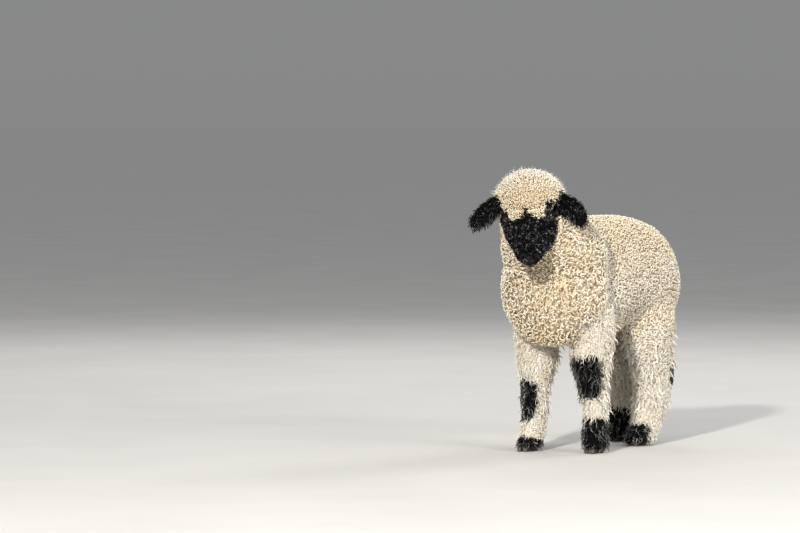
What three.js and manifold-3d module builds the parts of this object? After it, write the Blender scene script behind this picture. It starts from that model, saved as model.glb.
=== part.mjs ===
// A Valais Blacknose lamb, standing square on its four cloven feet with its head turned and lowered.
// Millimetres, +Z up. The lamb faces -Y and its left side is +X. The floor is Z = 0.
import * as THREE from "three";
import { mergeVertices } from "three/addons/utils/BufferGeometryUtils.js";
import Module from "manifold-3d";

const wasm = await Module();
wasm.setup();

// Driving dimensions
const GAP = 0.3; // between two parts that meet
const FLEECE = 28; // depth of the curly coat on body, neck and crown
const LEG_WOOL = 13; // depth of the wool on the legs
const CROWN_LIFT = 12; // height of the crown's clumps over their core
const CORE_SHARE = 0.5; // share of the coat's depth that the core fills
const BODY_SIDES = 14;
const LEG_SIDES = 8;
const HEAD_SIDES = 20;
const CLUMP_SPACING = 58; // between the clumps of the body's fleece
const CROWN_SPACING = 39;
const TAIL_SPACING = 52;
const LEG_SPACING = 60;
const LOCK_FILL = 0.84; // share of its girth that a lock is wide
const CLUMP_OVER = 9; // how much longer a clump is than the coat above its core

const BACK_TOP = 438;
const TAIL_CUT_Y = 402.5;
const HEAD_CUT = { side: 0, ahead: -38, up: -30 }; // where head and neck part
const NECK_CUT = 62; // along the neck, where it leaves the torso
const NECK_TOP = 150;
const CUT_REACH = 190; // radius of the balls that hold the head and the neck

const HEAD_CENTRE = new THREE.Vector3(10, -92, 445);
const HEAD_YAW = THREE.MathUtils.degToRad(26);
const HEAD_PITCH = THREE.MathUtils.degToRad(51);
const HEAD_ROLL = THREE.MathUtils.degToRad(4);

const EYE_RADIUS = 11.5;
const LID_THICKNESS = 2.6;
const EYE_PLACE = { side: 35, ahead: 17, up: 12 };

const CLAW_LENGTH = 35;
const CLAW_WIDTH = 14;
const CLAW_HEIGHT = 23;
const CLEFT = 1.6;

// Offsets from the head's centre to its left side, towards the nose and up, and half sizes in the
// order ahead, side, up.
const NOSE_PAD = { at: { side: 0, ahead: 100, up: 0 }, half: [9.5, 16, 11] };
const CHIN = { at: { side: 0, ahead: 90, up: -19 }, half: [16, 13, 8] };
const NOSTRIL = { at: { side: 9, ahead: 107, up: 2 }, half: [6, 3, 5] };
const MOUTH_RADIUS = 2.2;
// The mouth line from its corner to the middle: place along the head and angle round its section.
const MOUTH_LINE = [[70, -0.3], [82, -0.34], [93, -0.42], [101, -0.6]];
const MOUTH_MIDDLE = { side: 0, ahead: 106.5, up: -11 };

const FRINGE = { count: 5, from: 0.42, to: 0.95, width: 13, length: 10 };

// Solids and meshes

// The closed solid of a geometry, with its faces turned out.
function solidOf(geometry) {
  const bare = geometry.index ? geometry.toNonIndexed() : geometry;
  const points = new THREE.BufferGeometry();
  points.setAttribute("position", bare.getAttribute("position"));
  const merged = mergeVertices(points, 1e-3);
  const vertProperties = merged.attributes.position.array;
  const triVerts = new Uint32Array(merged.index.array);
  const made = new wasm.Manifold(new wasm.Mesh({ numProp: 3, vertProperties, triVerts }));
  if (made.volume() > 0) return made;
  for (let i = 0; i < triVerts.length; i += 3) {
    [triVerts[i], triVerts[i + 1]] = [triVerts[i + 1], triVerts[i]];
  }
  return new wasm.Manifold(new wasm.Mesh({ numProp: 3, vertProperties, triVerts }));
}

function largest(solid) {
  const bodies = solid.decompose();
  return bodies.reduce((best, body) => (body.volume() > best.volume() ? body : best));
}

function geometryOf(solid) {
  const mesh = solid.getMesh();
  const geometry = new THREE.BufferGeometry();
  const places = new Float32Array(mesh.vertProperties);
  geometry.setAttribute("position", new THREE.BufferAttribute(places, 3));
  geometry.setIndex(new THREE.BufferAttribute(new Uint32Array(mesh.triVerts), 1));
  geometry.computeVertexNormals();
  return geometry;
}

function addAll(solids) {
  return wasm.Manifold.union(solids);
}

// Repeatable random numbers from 0 to 1.
let seed = 20260;
function random() {
  seed = (seed * 1664525 + 1013904223) % 4294967296;
  return seed / 4294967296;
}

function about(value, share) {
  return value * (1 + share * (2 * random() - 1));
}

// A form is a loft along one straight main axis: each station gives its place along that axis, its
// centre's two offsets, and its half sizes to the left, right, top and bottom of the section.
class Form {
  constructor({ origin, main, side, up, stations }) {
    this.origin = origin;
    this.main = main;
    this.side = side;
    this.up = up;
    this.stations = stations;
  }

  get first() {
    return this.stations[0][0];
  }

  get last() {
    return this.stations[this.stations.length - 1][0];
  }

  section(s) {
    const rows = this.stations;
    let i = 0;
    while (i < rows.length - 2 && s > rows[i + 1][0]) i += 1;
    const before = rows[Math.max(i - 1, 0)];
    const a = rows[i];
    const b = rows[i + 1];
    const after = rows[Math.min(i + 2, rows.length - 1)];
    const span = b[0] - a[0];
    const t = THREE.MathUtils.clamp((s - a[0]) / span, 0, 1);
    return a.slice(1).map((value, k) => {
      const j = k + 1;
      const slopeA = i === 0 ? (b[j] - a[j]) / span : (b[j] - before[j]) / (b[0] - before[0]);
      const slopeB = after === b ? (b[j] - a[j]) / span : (after[j] - a[j]) / (after[0] - a[0]);
      const t2 = t * t;
      const t3 = t2 * t;
      const cubic =
        (2 * t3 - 3 * t2 + 1) * value +
        (t3 - 2 * t2 + t) * span * slopeA +
        (-2 * t3 + 3 * t2) * b[j] +
        (t3 - t2) * span * slopeB;
      return j > 2 ? Math.max(cubic, 0) : cubic;
    });
  }

  world(s, p, q) {
    return this.origin
      .clone()
      .addScaledVector(this.main, s)
      .addScaledVector(this.side, p)
      .addScaledVector(this.up, q);
  }

  centre(s) {
    const [p, q] = this.section(s);
    return this.world(s, p, q);
  }

  surface(s, angle) {
    const [p, q, left, right, top, bottom] = this.section(s);
    const across = Math.cos(angle) * (Math.cos(angle) > 0 ? left : right);
    const high = Math.sin(angle) * (Math.sin(angle) > 0 ? top : bottom);
    return this.world(s, p + across, q + high);
  }

  normal(s, angle) {
    const step = 1.5;
    const low = Math.max(s - step, this.first);
    const high = Math.min(s + step, this.last);
    const along = this.surface(high, angle).sub(this.surface(low, angle));
    const around = this.surface(s, angle + 0.03).sub(this.surface(s, angle - 0.03));
    const out = around.cross(along).normalize();
    const spoke = this.surface(s, angle).sub(this.centre(s));
    return out.dot(spoke) < 0 ? out.negate() : out;
  }

  // Whether a point lies more than a margin inside the form.
  holds(point, margin) {
    const rel = point.clone().sub(this.origin);
    const s = rel.dot(this.main);
    if (s < this.first + margin || s > this.last - margin) return false;
    const [p, q, left, right, top, bottom] = this.section(s);
    const across = rel.dot(this.side) - p;
    const high = rel.dot(this.up) - q;
    const a = (across > 0 ? left : right) - margin;
    const b = (high > 0 ? top : bottom) - margin;
    if (a <= 0 || b <= 0) return false;
    return (across / a) ** 2 + (high / b) ** 2 < 1;
  }

  // The closed solid inside the form's surface by a depth, with a ring at each stop.
  solid(sides, stops, depth = 0) {
    const geometry = new THREE.SphereGeometry(1, sides, stops.length - 1);
    const places = geometry.attributes.position;
    const place = new THREE.Vector3();
    const last = stops.length - 1;
    for (let i = 0; i < places.count; i += 1) {
      place.fromBufferAttribute(places, i);
      const polar = Math.acos(THREE.MathUtils.clamp(place.y, -1, 1));
      const row = Math.round((polar / Math.PI) * last);
      const s = stops[row];
      let moved;
      if (row === 0 || row === last) {
        const rounded = stops[row === 0 ? 1 : last - 1] !== s;
        const inward = rounded ? depth * (row === 0 ? 1 : -1) : 0;
        moved = this.centre(s).addScaledVector(this.main, inward);
      } else {
        const angle = Math.atan2(place.z, -place.x);
        moved = this.surface(s, angle);
        moved.addScaledVector(this.normal(s, angle), -depth);
      }
      places.setXYZ(i, moved.x, moved.y, moved.z);
    }
    return solidOf(geometry);
  }
}

// One clump or lock: its root is sunk below the surface, it leaves at a tilt from the coat's lie,
// swells by its profile, and bends towards the lie as it nears its tip.
const CLUMP_ROWS = [0, 0.4, 0.8, 1];
const CLUMP_SWELL = [0, 1, 0.72, 0];
const LOCK_SWELL = [0, 1, 0.7, 0];

function tuft(shape) {
  const { root, out, lie, width, thickness, length, tilt, bend, sink } = shape;
  const { sides = 5, swell = CLUMP_SWELL } = shape;
  const flow = lie.clone().addScaledVector(out, -lie.dot(out)).normalize();
  const along = flow.clone().multiplyScalar(Math.cos(tilt)).addScaledVector(out, Math.sin(tilt));
  const side = along.clone().cross(out).normalize();
  if (side.lengthSq() < 0.5) side.copy(flow).cross(out).normalize();
  const top = side.clone().cross(along).normalize();
  const start = root.clone().addScaledVector(out, -sink);
  const last = CLUMP_ROWS.length - 1;
  const geometry = new THREE.SphereGeometry(1, sides, last);
  const places = geometry.attributes.position;
  const place = new THREE.Vector3();
  const turn = random() * Math.PI;
  for (let i = 0; i < places.count; i += 1) {
    place.fromBufferAttribute(places, i);
    const row = Math.round((Math.acos(THREE.MathUtils.clamp(place.y, -1, 1)) / Math.PI) * last);
    const t = CLUMP_ROWS[row];
    const angle = Math.atan2(place.z, -place.x) + turn;
    const moved = start
      .clone()
      .addScaledVector(along, t * length)
      .addScaledVector(flow, bend * t * t)
      .addScaledVector(side, (width / 2) * swell[row] * Math.cos(angle))
      .addScaledVector(top, (thickness / 2) * swell[row] * Math.sin(angle));
    places.setXYZ(i, moved.x, moved.y, moved.z);
  }
  return solidOf(geometry);
}

// Angles that share a section's girth out evenly.
function evenAngles(form, s, count, shift) {
  const steps = 64;
  const lengths = [0];
  let before = form.surface(s, 0);
  for (let i = 1; i <= steps; i += 1) {
    const next = form.surface(s, (i / steps) * 2 * Math.PI);
    lengths.push(lengths[i - 1] + next.distanceTo(before));
    before = next;
  }
  const girth = lengths[steps];
  return Array.from({ length: count }, (_, k) => {
    const wanted = (((k + shift) / count) % 1) * girth;
    const i = lengths.findIndex((value) => value > wanted);
    const share = (wanted - lengths[i - 1]) / (lengths[i] - lengths[i - 1]);
    return ((i - 1 + share) / steps) * 2 * Math.PI;
  });
}

function girthOf(form, s) {
  const places = Array.from({ length: 33 }, (_, i) => form.surface(s, (i / 32) * 2 * Math.PI));
  return places.slice(1).reduce((sum, place, i) => sum + place.distanceTo(places[i]), 0);
}

// Places along a form that share out its profile's length evenly.
function evenRows(form, from, to, spacing) {
  const steps = 40;
  const quarters = [0, 1, 2, 3].map((i) => (i * Math.PI) / 2);
  const lengths = [0];
  for (let i = 1; i <= steps; i += 1) {
    const [a, b] = [i - 1, i].map((k) => from + ((to - from) * k) / steps);
    const quarterSteps = quarters.map((angle) => form.surface(a, angle).distanceTo(form.surface(b, angle)));
    lengths.push(lengths[i - 1] + quarterSteps.reduce((sum, step) => sum + step, 0) / quarters.length);
  }
  const rows = Math.max(Math.round(lengths[steps] / (spacing * 0.87)), 1);
  return Array.from({ length: rows + 1 }, (_, row) => {
    const wanted = (lengths[steps] * row) / rows;
    const i = Math.min(lengths.findIndex((value) => value >= wanted - 1e-9) || 1, steps);
    const share = (wanted - lengths[i - 1]) / (lengths[i] - lengths[i - 1]);
    return from + ((to - from) * (i - 1 + share)) / steps;
  });
}

// Sets tufts over a form in staggered rings. The make function gets the place on the coat's core,
// the way out and each tuft's share of the girth. A tuft whose root another form holds is left out.
function cover(form, { from, to, spacing, depth, others, make }) {
  const made = [];
  for (const [row, s] of evenRows(form, from, to, spacing).entries()) {
    const girth = girthOf(form, s) - 2 * Math.PI * depth;
    const count = Math.max(Math.round(girth / spacing), 3);
    for (const angle of evenAngles(form, s, count, row % 2 ? 0.5 : 0)) {
      const at = THREE.MathUtils.clamp(s + (random() - 0.5) * spacing * 0.12, from, to);
      const turned = angle + ((random() - 0.5) * 0.12 * spacing * 2 * Math.PI) / girthOf(form, at);
      const out = form.normal(at, turned);
      const root = form.surface(at, turned).addScaledVector(out, -depth);
      if (others.some((other) => other.holds(root, 0))) continue;
      made.push(make({ root, out, share: girth / count }));
    }
  }
  return made;
}

const X = new THREE.Vector3(1, 0, 0);
const Y = new THREE.Vector3(0, 1, 0);
const Z = new THREE.Vector3(0, 0, 1);
const ORIGIN = new THREE.Vector3(0, 0, 0);

function between(first, last, count) {
  return Array.from({ length: count }, (_, i) => first + ((last - first) * i) / (count - 1));
}

// Torso: Y, centre X and Z, half widths, half heights up and down, out to the tips of the fleece.
const torsoForm = new Form({
  origin: ORIGIN,
  main: Y,
  side: X,
  up: Z,
  stations: [
    [-66, 0, 307, 0, 0, 0, 0],
    [-58, 0, 305, 52, 52, 58, 58],
    [-42, 0, 304, 80, 80, 95, 90],
    [-18, 0, 304, 97, 97, 119, 106],
    [15, 0, 304, 103, 103, 131, 108],
    [45, 0, 302, 99, 99, 136, 105],
    [76, 0, 302, 83, 83, 135, 100],
    [110, 0, 306, 87, 87, 131, 97],
    [150, 0, 311, 91, 91, 127, 99],
    [200, 0, 312, 92, 92, BACK_TOP - 312, 96],
    [250, 0, 312, 93, 93, 124, 92],
    [300, 0, 310, 92, 92, 118, 88],
    [340, 0, 304, 86, 86, 112, 84],
    [373, 0, 298, 67, 67, 86, 70],
    [393, 0, 295, 38, 38, 50, 44],
    [401, 0, 293, 0, 0, 0, 0],
  ],
});
const TORSO_STOPS = [-66, -60, -44, -18, 20, 50, 76, 105, 150, 210, 270, 320, 355, 380, 395, 401];

// Neck: rises ahead of the shoulders to the back of the head.
const NECK_START = new THREE.Vector3(0, 48, 334);
const NECK_END = new THREE.Vector3(8, -96, 456);
const neckMain = NECK_END.clone().sub(NECK_START).normalize();
const neckSide = X.clone().addScaledVector(neckMain, -neckMain.x).normalize();
const neckUp = neckSide.clone().cross(neckMain).normalize();
const NECK_LENGTH = NECK_END.distanceTo(NECK_START);
const neckForm = new Form({
  origin: NECK_START,
  main: neckMain,
  side: neckSide,
  up: neckUp,
  stations: [
    [0, 0, 0, 92, 92, 80, 86],
    [35, 0, 0, 101, 101, 80, 88],
    [70, 0, 0, 101, 101, 74, 84],
    [105, 0, 0, 90, 90, 68, 75],
    [140, 0, 0, 74, 74, 64, 62],
    [NECK_LENGTH, 0, 0, 58, 58, 54, 46],
  ],
});
const NECK_STOPS = [0, 0, ...between(35, NECK_LENGTH - 25, 4), NECK_LENGTH, NECK_LENGTH];

// Legs: height, centre X and Y, half widths, half depths back and front. The left side is +X.
function legForm(stations) {
  return new Form({ origin: ORIGIN, main: Z, side: X, up: Y, stations });
}

const LEG_BOTTOM = 8;
const LEG_SPLIT = { fore: 112, hind: 150 }; // height of the cut through knee and hock

const foreLeft = [
  [LEG_BOTTOM, 66, 53, 27, 27, 34, 34],
  [24, 66, 53, 28, 28, 34, 35],
  [47, 64, 56, 27, 27, 30, 30],
  [71, 62, 58, 26, 26, 29, 28],
  [98, 59, 59, 27, 27, 30, 29],
  [125, 56, 59, 30, 30, 33, 32],
  [162, 52, 58, 36, 36, 43, 40],
  [196, 54, 57, 41, 39, 49, 45],
  [230, 57, 55, 42, 40, 54, 50],
  [279, 56, 52, 38, 38, 56, 52],
];
const foreRight = [
  [LEG_BOTTOM, -62, 28, 27, 27, 34, 36],
  [24, -61, 33, 27, 27, 33, 35],
  [47, -60, 40, 26, 26, 30, 29],
  [71, -60, 44, 26, 26, 29, 27],
  [98, -60, 46, 27, 27, 30, 29],
  [125, -59, 46, 30, 29, 34, 32],
  [162, -58, 46, 40, 35, 43, 41],
  [196, -58, 47, 41, 39, 49, 46],
  [230, -58, 49, 40, 42, 54, 50],
  [279, -56, 50, 38, 38, 56, 52],
];
const hindLeft = [
  [LEG_BOTTOM, 45, 250, 33, 30, 48, 40],
  [24, 45, 261, 33, 30, 48, 40],
  [47, 46, 280, 32, 30, 46, 40],
  [74, 46, 292, 32, 30, 48, 42],
  [98, 46, 298, 33, 31, 52, 45],
  [122, 47, 298, 35, 32, 58, 49],
  [147, 48, 293, 37, 34, 64, 54],
  [176, 48, 288, 40, 37, 68, 62],
  [211, 48, 285, 43, 39, 70, 70],
  [245, 47, 284, 45, 41, 72, 74],
  [294, 44, 286, 44, 38, 72, 74],
];
const hindRight = [
  [LEG_BOTTOM, -42, 330, 30, 30, 42, 38],
  [24, -42, 336, 29, 30, 42, 37],
  [47, -43, 345, 28, 29, 39, 35],
  [74, -44, 349, 28, 30, 41, 37],
  [98, -45, 349, 30, 31, 45, 41],
  [122, -46, 344, 31, 33, 50, 46],
  [147, -47, 333, 33, 36, 58, 52],
  [176, -48, 316, 37, 39, 66, 60],
  [211, -48, 303, 39, 42, 70, 68],
  [245, -47, 294, 41, 45, 72, 74],
  [294, -44, 290, 38, 44, 72, 74],
];
const LEG_STOPS = [LEG_BOTTOM, LEG_BOTTOM, 32, 60, 95, 128, 165, 205, 245, 275, 275];
const legForms = {
  foreleg_left: legForm(foreLeft),
  foreleg_right: legForm(foreRight),
  hindleg_left: legForm(hindLeft),
  hindleg_right: legForm(hindRight),
};

// Tail: hangs from the top of the rump, behind it.
const tailForm = new Form({
  origin: ORIGIN,
  main: Z.clone().negate(),
  side: X,
  up: Y,
  stations: [
    [-397, 0, 352, 20, 20, 16, 16],
    [-383, 0, 374, 20, 20, 20, 20],
    [-365, 0, 394, 20, 20, 20, 20],
    [-340, 0, 409, 20, 20, 18, 18],
    [-295, 2, 417, 21, 21, 17, 15],
    [-245, 3, 419, 21, 21, 17, 15],
    [-207, 3, 418, 19, 19, 16, 15],
    [-187, 3, 417, 12, 12, 11, 11],
    [-179, 3, 417, 0, 0, 0, 0],
  ],
});
const TAIL_STOPS = [-397, -397, -383, -365, -343, -315, -280, -245, -215, -197, -185, -179];

// Head: along the line from the back of the skull to the nose.
const headAhead = new THREE.Vector3(Math.sin(HEAD_YAW), -Math.cos(HEAD_YAW), 0);
const headSide = new THREE.Vector3(Math.cos(HEAD_YAW), Math.sin(HEAD_YAW), 0);
headSide.applyAxisAngle(headAhead, HEAD_ROLL);
const headMain = headAhead.clone().applyAxisAngle(headSide, HEAD_PITCH);
const headUp = headMain.clone().cross(headSide).normalize();
const headForm = new Form({
  origin: HEAD_CENTRE,
  main: headMain,
  side: headSide,
  up: headUp,
  stations: [
    [-60, 0, -4, 0, 0, 0, 0],
    [-53, 0, -3, 26, 26, 28, 30],
    [-38, 0, 0, 40, 40, 40, 44],
    [-15, 0, 1, 47, 47, 43, 52],
    [5, 0, 0, 50, 50, 41, 55],
    [22, 0, -2, 50, 50, 37, 54],
    [42, 0, -4, 46, 46, 33, 47],
    [62, 0, -5, 38, 38, 30, 37],
    [80, 0, -4, 30, 30, 27, 29],
    [95, 0, -4, 25, 25, 22, 23],
    [104, 0, -5, 19, 19, 16, 17],
    [108, 0, -6, 0, 0, 0, 0],
  ],
});
const HEAD_STOPS = [-60, -56, -44, -22, 0, 16, 30, 44, 58, 72, 84, 94, 101, 106, 108];

// The woolly crown over the skull, out to its tips.
const crownForm = new Form({
  origin: HEAD_CENTRE,
  main: headMain,
  side: headSide,
  up: headUp,
  stations: [
    [-86, 0, -4, 0, 0, 0, 0],
    [-76, 0, -2, 42, 40, 38, 36],
    [-56, 0, 0, 60, 57, 55, 44],
    [-32, 0, 1, 70, 67, 66, 42],
    [-8, 0, 2, 69, 66, 67, 36],
    [12, 0, 6, 56, 54, 58, 28],
    [26, 0, 14, 36, 36, 38, 20],
    [34, 0, 24, 0, 0, 0, 0],
  ],
});
const CROWN_STOPS = [-86, -82, -72, -56, -40, -22, -4, 10, 20, 28, 32, 34];

// Ears: a leaf-shaped blade that bends down along its spine. Offsets from the root run outward,
// up and ahead of the head, level with the ground.
const EAR_ROOT = { side: 37, ahead: -19, up: 20 };
const EAR_SPINES = {
  ear_right: { out: -1, points: [[0, 0, 0], [22, -4, 4], [46, -23, 9], [68, -44, 13]] },
  ear_left: { out: 1, points: [[0, 0, 0], [26, -7, 4], [51, -24, 10], [68, -54, 15]] },
};
const EAR_WIDTHS = [12, 14, 17, 18, 18, 15, 9];
const EAR_THICKNESS = 7;
const EAR_SIDES = 8;
const EAR_CUT = 0.3; // share of the spine at which the ear leaves the wool
const EAR_MIDDLE = 0.67; // and the middle of what stands clear, with a ball that holds it
const EAR_REACH = 40;

function headPoint({ side, ahead, up }) {
  return HEAD_CENTRE.clone()
    .addScaledVector(headSide, side)
    .addScaledVector(headMain, ahead)
    .addScaledVector(headUp, up);
}

function earCurve({ out, points }) {
  const root = headPoint({ ...EAR_ROOT, side: EAR_ROOT.side * out });
  const places = points.map(([side, up, ahead]) =>
    root
      .clone()
      .addScaledVector(headSide, side * out)
      .addScaledVector(Z, up)
      .addScaledVector(headAhead, ahead),
  );
  return new THREE.CatmullRomCurve3(places);
}

function earFrame(curve, t) {
  const tangent = curve.getTangentAt(t);
  const face = headAhead.clone().addScaledVector(Z, -0.35);
  face.addScaledVector(tangent, -face.dot(tangent)).normalize();
  const across = tangent.clone().cross(face).normalize();
  return { tangent, face, across };
}

function earWidth(t) {
  const at = t * (EAR_WIDTHS.length - 1);
  const i = Math.min(Math.floor(at), EAR_WIDTHS.length - 2);
  return THREE.MathUtils.lerp(EAR_WIDTHS[i], EAR_WIDTHS[i + 1], at - i);
}

function earSolid(spine) {
  const curve = earCurve(spine);
  const rows = 10;
  const geometry = new THREE.SphereGeometry(1, EAR_SIDES, rows);
  const places = geometry.attributes.position;
  const place = new THREE.Vector3();
  for (let i = 0; i < places.count; i += 1) {
    place.fromBufferAttribute(places, i);
    const polar = Math.acos(THREE.MathUtils.clamp(place.y, -1, 1));
    const row = Math.round((polar / Math.PI) * rows);
    const t = row <= 1 ? 0 : Math.min((row - 1) / (rows - 1), 1);
    const { face, across } = earFrame(curve, t);
    const round = row === 0 || row === rows ? 0 : 1;
    const angle = Math.atan2(place.z, -place.x);
    const cup = 0.55 * EAR_THICKNESS * Math.cos(angle) ** 2 * Math.sin(Math.PI * Math.min(t * 1.1, 1));
    const moved = curve
      .getPointAt(t)
      .addScaledVector(across, round * earWidth(t) * Math.cos(angle))
      .addScaledVector(face, round * (EAR_THICKNESS * (1 - 0.45 * t) * Math.sin(angle) + cup));
    places.setXYZ(i, moved.x, moved.y, moved.z);
  }
  return solidOf(geometry);
}

// Locks that hang from the lower edge and the tip of an ear.
function earFringe(spine) {
  const curve = earCurve(spine);
  return Array.from({ length: FRINGE.count }, (_, i) => {
    const t = THREE.MathUtils.lerp(FRINGE.from, FRINGE.to, i / (FRINGE.count - 1));
    const { face, across } = earFrame(curve, t);
    const low = across.z < 0 ? 1 : -1;
    const edge = curve.getPointAt(t).addScaledVector(across, low * (earWidth(t) - 3));
    return tuft({
      root: edge,
      out: face,
      lie: Z.clone().negate(),
      width: about(FRINGE.width, 0.15),
      thickness: about(EAR_THICKNESS, 0.1),
      length: about(FRINGE.length, 0.15),
      tilt: 0.1,
      bend: 2,
      sink: 0,
      swell: LOCK_SWELL,
    });
  });
}

// Eyes
function eyePlace(out) {
  return headPoint({ ...EYE_PLACE, side: EYE_PLACE.side * out });
}

function ball(centre, radius, sides, rings) {
  const geometry = new THREE.SphereGeometry(radius, sides, rings);
  geometry.translate(centre.x, centre.y, centre.z);
  return solidOf(geometry);
}

// An ellipsoid whose half sizes lie along the head's main, side and up directions.
function headEllipsoid(centre, [ahead, side, up], sides, rings) {
  const geometry = new THREE.SphereGeometry(1, sides, rings);
  geometry.scale(ahead, side, up);
  geometry.applyMatrix4(new THREE.Matrix4().makeBasis(headMain, headSide, headUp));
  geometry.translate(centre.x, centre.y, centre.z);
  return solidOf(geometry);
}

// Opens a socket through the short coat, rings the eye with lids, and leaves room for the eye.
function withEye(head, out) {
  const at = eyePlace(out);
  const socket = headEllipsoid(at.clone().addScaledVector(headSide, out * 17), [19, 12, 14], 10, 6);
  const lids = ball(at, EYE_RADIUS + LID_THICKNESS, 12, 8);
  const slit = headEllipsoid(at.clone().addScaledVector(headSide, out * 12), [9.5, 13, 6.5], 10, 6);
  const room = ball(at, EYE_RADIUS + GAP, 12, 8);
  return largest(head.subtract(socket).add(lids).subtract(slit).subtract(room));
}

// The mouth's groove: a thin tube round the muzzle, half sunk in it.
function mouthTube() {
  const points = [
    ...MOUTH_LINE.map(([s, angle]) => headForm.surface(s, angle)),
    headPoint(MOUTH_MIDDLE),
    ...MOUTH_LINE.map(([s, angle]) => headForm.surface(s, Math.PI - angle)).reverse(),
  ];
  const ring = new THREE.Shape().absarc(0, 0, MOUTH_RADIUS, 0, 2 * Math.PI);
  const path = new THREE.CatmullRomCurve3(points);
  const geometry = new THREE.ExtrudeGeometry(ring, {
    steps: 12,
    curveSegments: 3,
    bevelEnabled: false,
    extrudePath: path,
  });
  return solidOf(geometry);
}

// Adds the nose pad and the chin, then opens the mouth's line and the nostrils.
function withMuzzle(head) {
  const pad = headEllipsoid(headPoint(NOSE_PAD.at), NOSE_PAD.half, 10, 6);
  const chin = headEllipsoid(headPoint(CHIN.at), CHIN.half, 10, 6);
  const nostrils = [-1, 1].map((out) => {
    const at = headPoint({ ...NOSTRIL.at, side: NOSTRIL.at.side * out });
    return headEllipsoid(at, NOSTRIL.half, 8, 4);
  });
  return largest(addAll([head, pad, chin]).subtract(addAll([mouthTube(), ...nostrils])));
}

// Claws: two to a foot, flat below, high at the heel's coronet and blunt at the toe.
const FEET = {
  foreleg_left: { x: 66, y: 44, turn: 0.05 },
  foreleg_right: { x: -62, y: 19, turn: -0.08 },
  hindleg_left: { x: 45, y: 243, turn: 0.08 },
  hindleg_right: { x: -42, y: 322, turn: -0.08 },
};

function clawSolid(foot, out, grow) {
  const shape = new THREE.Shape();
  const half = CLAW_LENGTH / 2;
  shape.moveTo(-half - 4 - grow, -grow);
  shape.lineTo(half - 3 + grow, -grow);
  shape.quadraticCurveTo(half + grow, -grow, half - 1 + grow, 7);
  shape.lineTo(half - 7 + grow, CLAW_HEIGHT - 3);
  shape.lineTo(half - 10 + grow, CLAW_HEIGHT + grow);
  shape.lineTo(-half - grow, CLAW_HEIGHT - 6 + grow);
  shape.closePath();
  const wide = CLAW_WIDTH + 2 * grow;
  const geometry = new THREE.ExtrudeGeometry(shape, {
    depth: wide,
    bevelEnabled: false,
    curveSegments: 3,
    steps: 2,
  });
  geometry.translate(0, 0, -wide / 2);
  const places = geometry.attributes.position;
  const turned = new THREE.Matrix4().makeRotationZ(foot.turn);
  const place = new THREE.Vector3();
  for (let i = 0; i < places.count; i += 1) {
    place.fromBufferAttribute(places, i);
    const toe = THREE.MathUtils.smoothstep(place.x, -half, half);
    const heel = 1 - THREE.MathUtils.smoothstep(place.x, -half - 4, 0);
    const narrow = 1 - 0.38 * toe - 0.2 * heel - 0.12 * (place.y / CLAW_HEIGHT);
    const across = out * (CLEFT / 2 + CLAW_WIDTH / 2) + place.z * narrow - out * 1.6 * toe;
    const moved = new THREE.Vector3(across, -place.x, place.y).applyMatrix4(turned);
    places.setXYZ(i, moved.x + foot.x, moved.y + foot.y, moved.z);
  }
  return solidOf(geometry);
}

// Thin cuts

function prism(points, from, to) {
  const shape = new THREE.Shape(points.map(([x, z]) => new THREE.Vector2(x, z)));
  const geometry = new THREE.ExtrudeGeometry(shape, { depth: to - from, bevelEnabled: false });
  geometry.rotateX(Math.PI / 2);
  geometry.translate(0, to, 0);
  return solidOf(geometry);
}

// A block that fills one side of a plane: a thick plate whose near face is the plane.
function halfSpace(point, normal, back = 0) {
  const size = 900;
  const geometry = new THREE.BoxGeometry(size, size, size);
  geometry.translate(0, 0, size / 2 + back);
  geometry.applyQuaternion(new THREE.Quaternion().setFromUnitVectors(Z, normal.clone().normalize()));
  geometry.translate(point.x, point.y, point.z);
  return solidOf(geometry);
}

// Keeps the coat off the floor.
const floorBlock = halfSpace(new THREE.Vector3(0, 0, LEG_BOTTOM - 2), Z.clone().negate());

// The outlines, across the body, of the regions that hold each pair of legs.
const LEG_REGIONS = {
  fore: {
    outline: [[15, -20], [15, 182], [118, 257], [170, 257], [170, -20]],
    from: -90,
    to: 165,
  },
  hind: {
    outline: [[7, -20], [7, 199], [104, 275], [170, 275], [170, -20]],
    from: 206,
    to: TAIL_CUT_Y - 0.5,
  },
};

function legRegion(name, grow) {
  const { outline, from, to } = LEG_REGIONS[name.startsWith("fore") ? "fore" : "hind"];
  const sign = name.endsWith("left") ? 1 : -1;
  const lift = grow * 1.3;
  const points = outline.map(([x, z], i) => [
    sign * (i < 2 ? x - grow : x),
    i > 0 && i < 4 ? z + lift : z,
  ]);
  return prism(sign > 0 ? points : points.reverse(), from - grow, to + grow);
}

// The coat

const fleeceLift = FLEECE * (1 - CORE_SHARE);
const legLift = LEG_WOOL * (1 - CORE_SHARE);

// A rounded clump that stands from the core to the tips of the coat.
function clump(lift, width, lie, tilt) {
  return ({ root, out }) =>
    tuft({
      root,
      out,
      lie,
      width: about(width, 0.06),
      thickness: about(width, 0.06),
      length: about(lift + CLUMP_OVER, 0.1),
      tilt: about(tilt, 0.08),
      bend: 3,
      sink: 7,
    });
}

// A flat tapered lock that lies down the leg or tail and nearly fills its share of the girth.
function lock(length, lift) {
  return ({ root, out, share }) =>
    tuft({
      root: root.clone().addScaledVector(Z, length * 0.3),
      out,
      lie: Z.clone().negate(),
      width: about(share * LOCK_FILL, 0.1),
      thickness: about(2 * lift + 6, 0.15),
      length: about(length, 0.15),
      tilt: about(0.2, 0.2),
      bend: 1,
      sink: 4,
      swell: LOCK_SWELL,
    });
}

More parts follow.
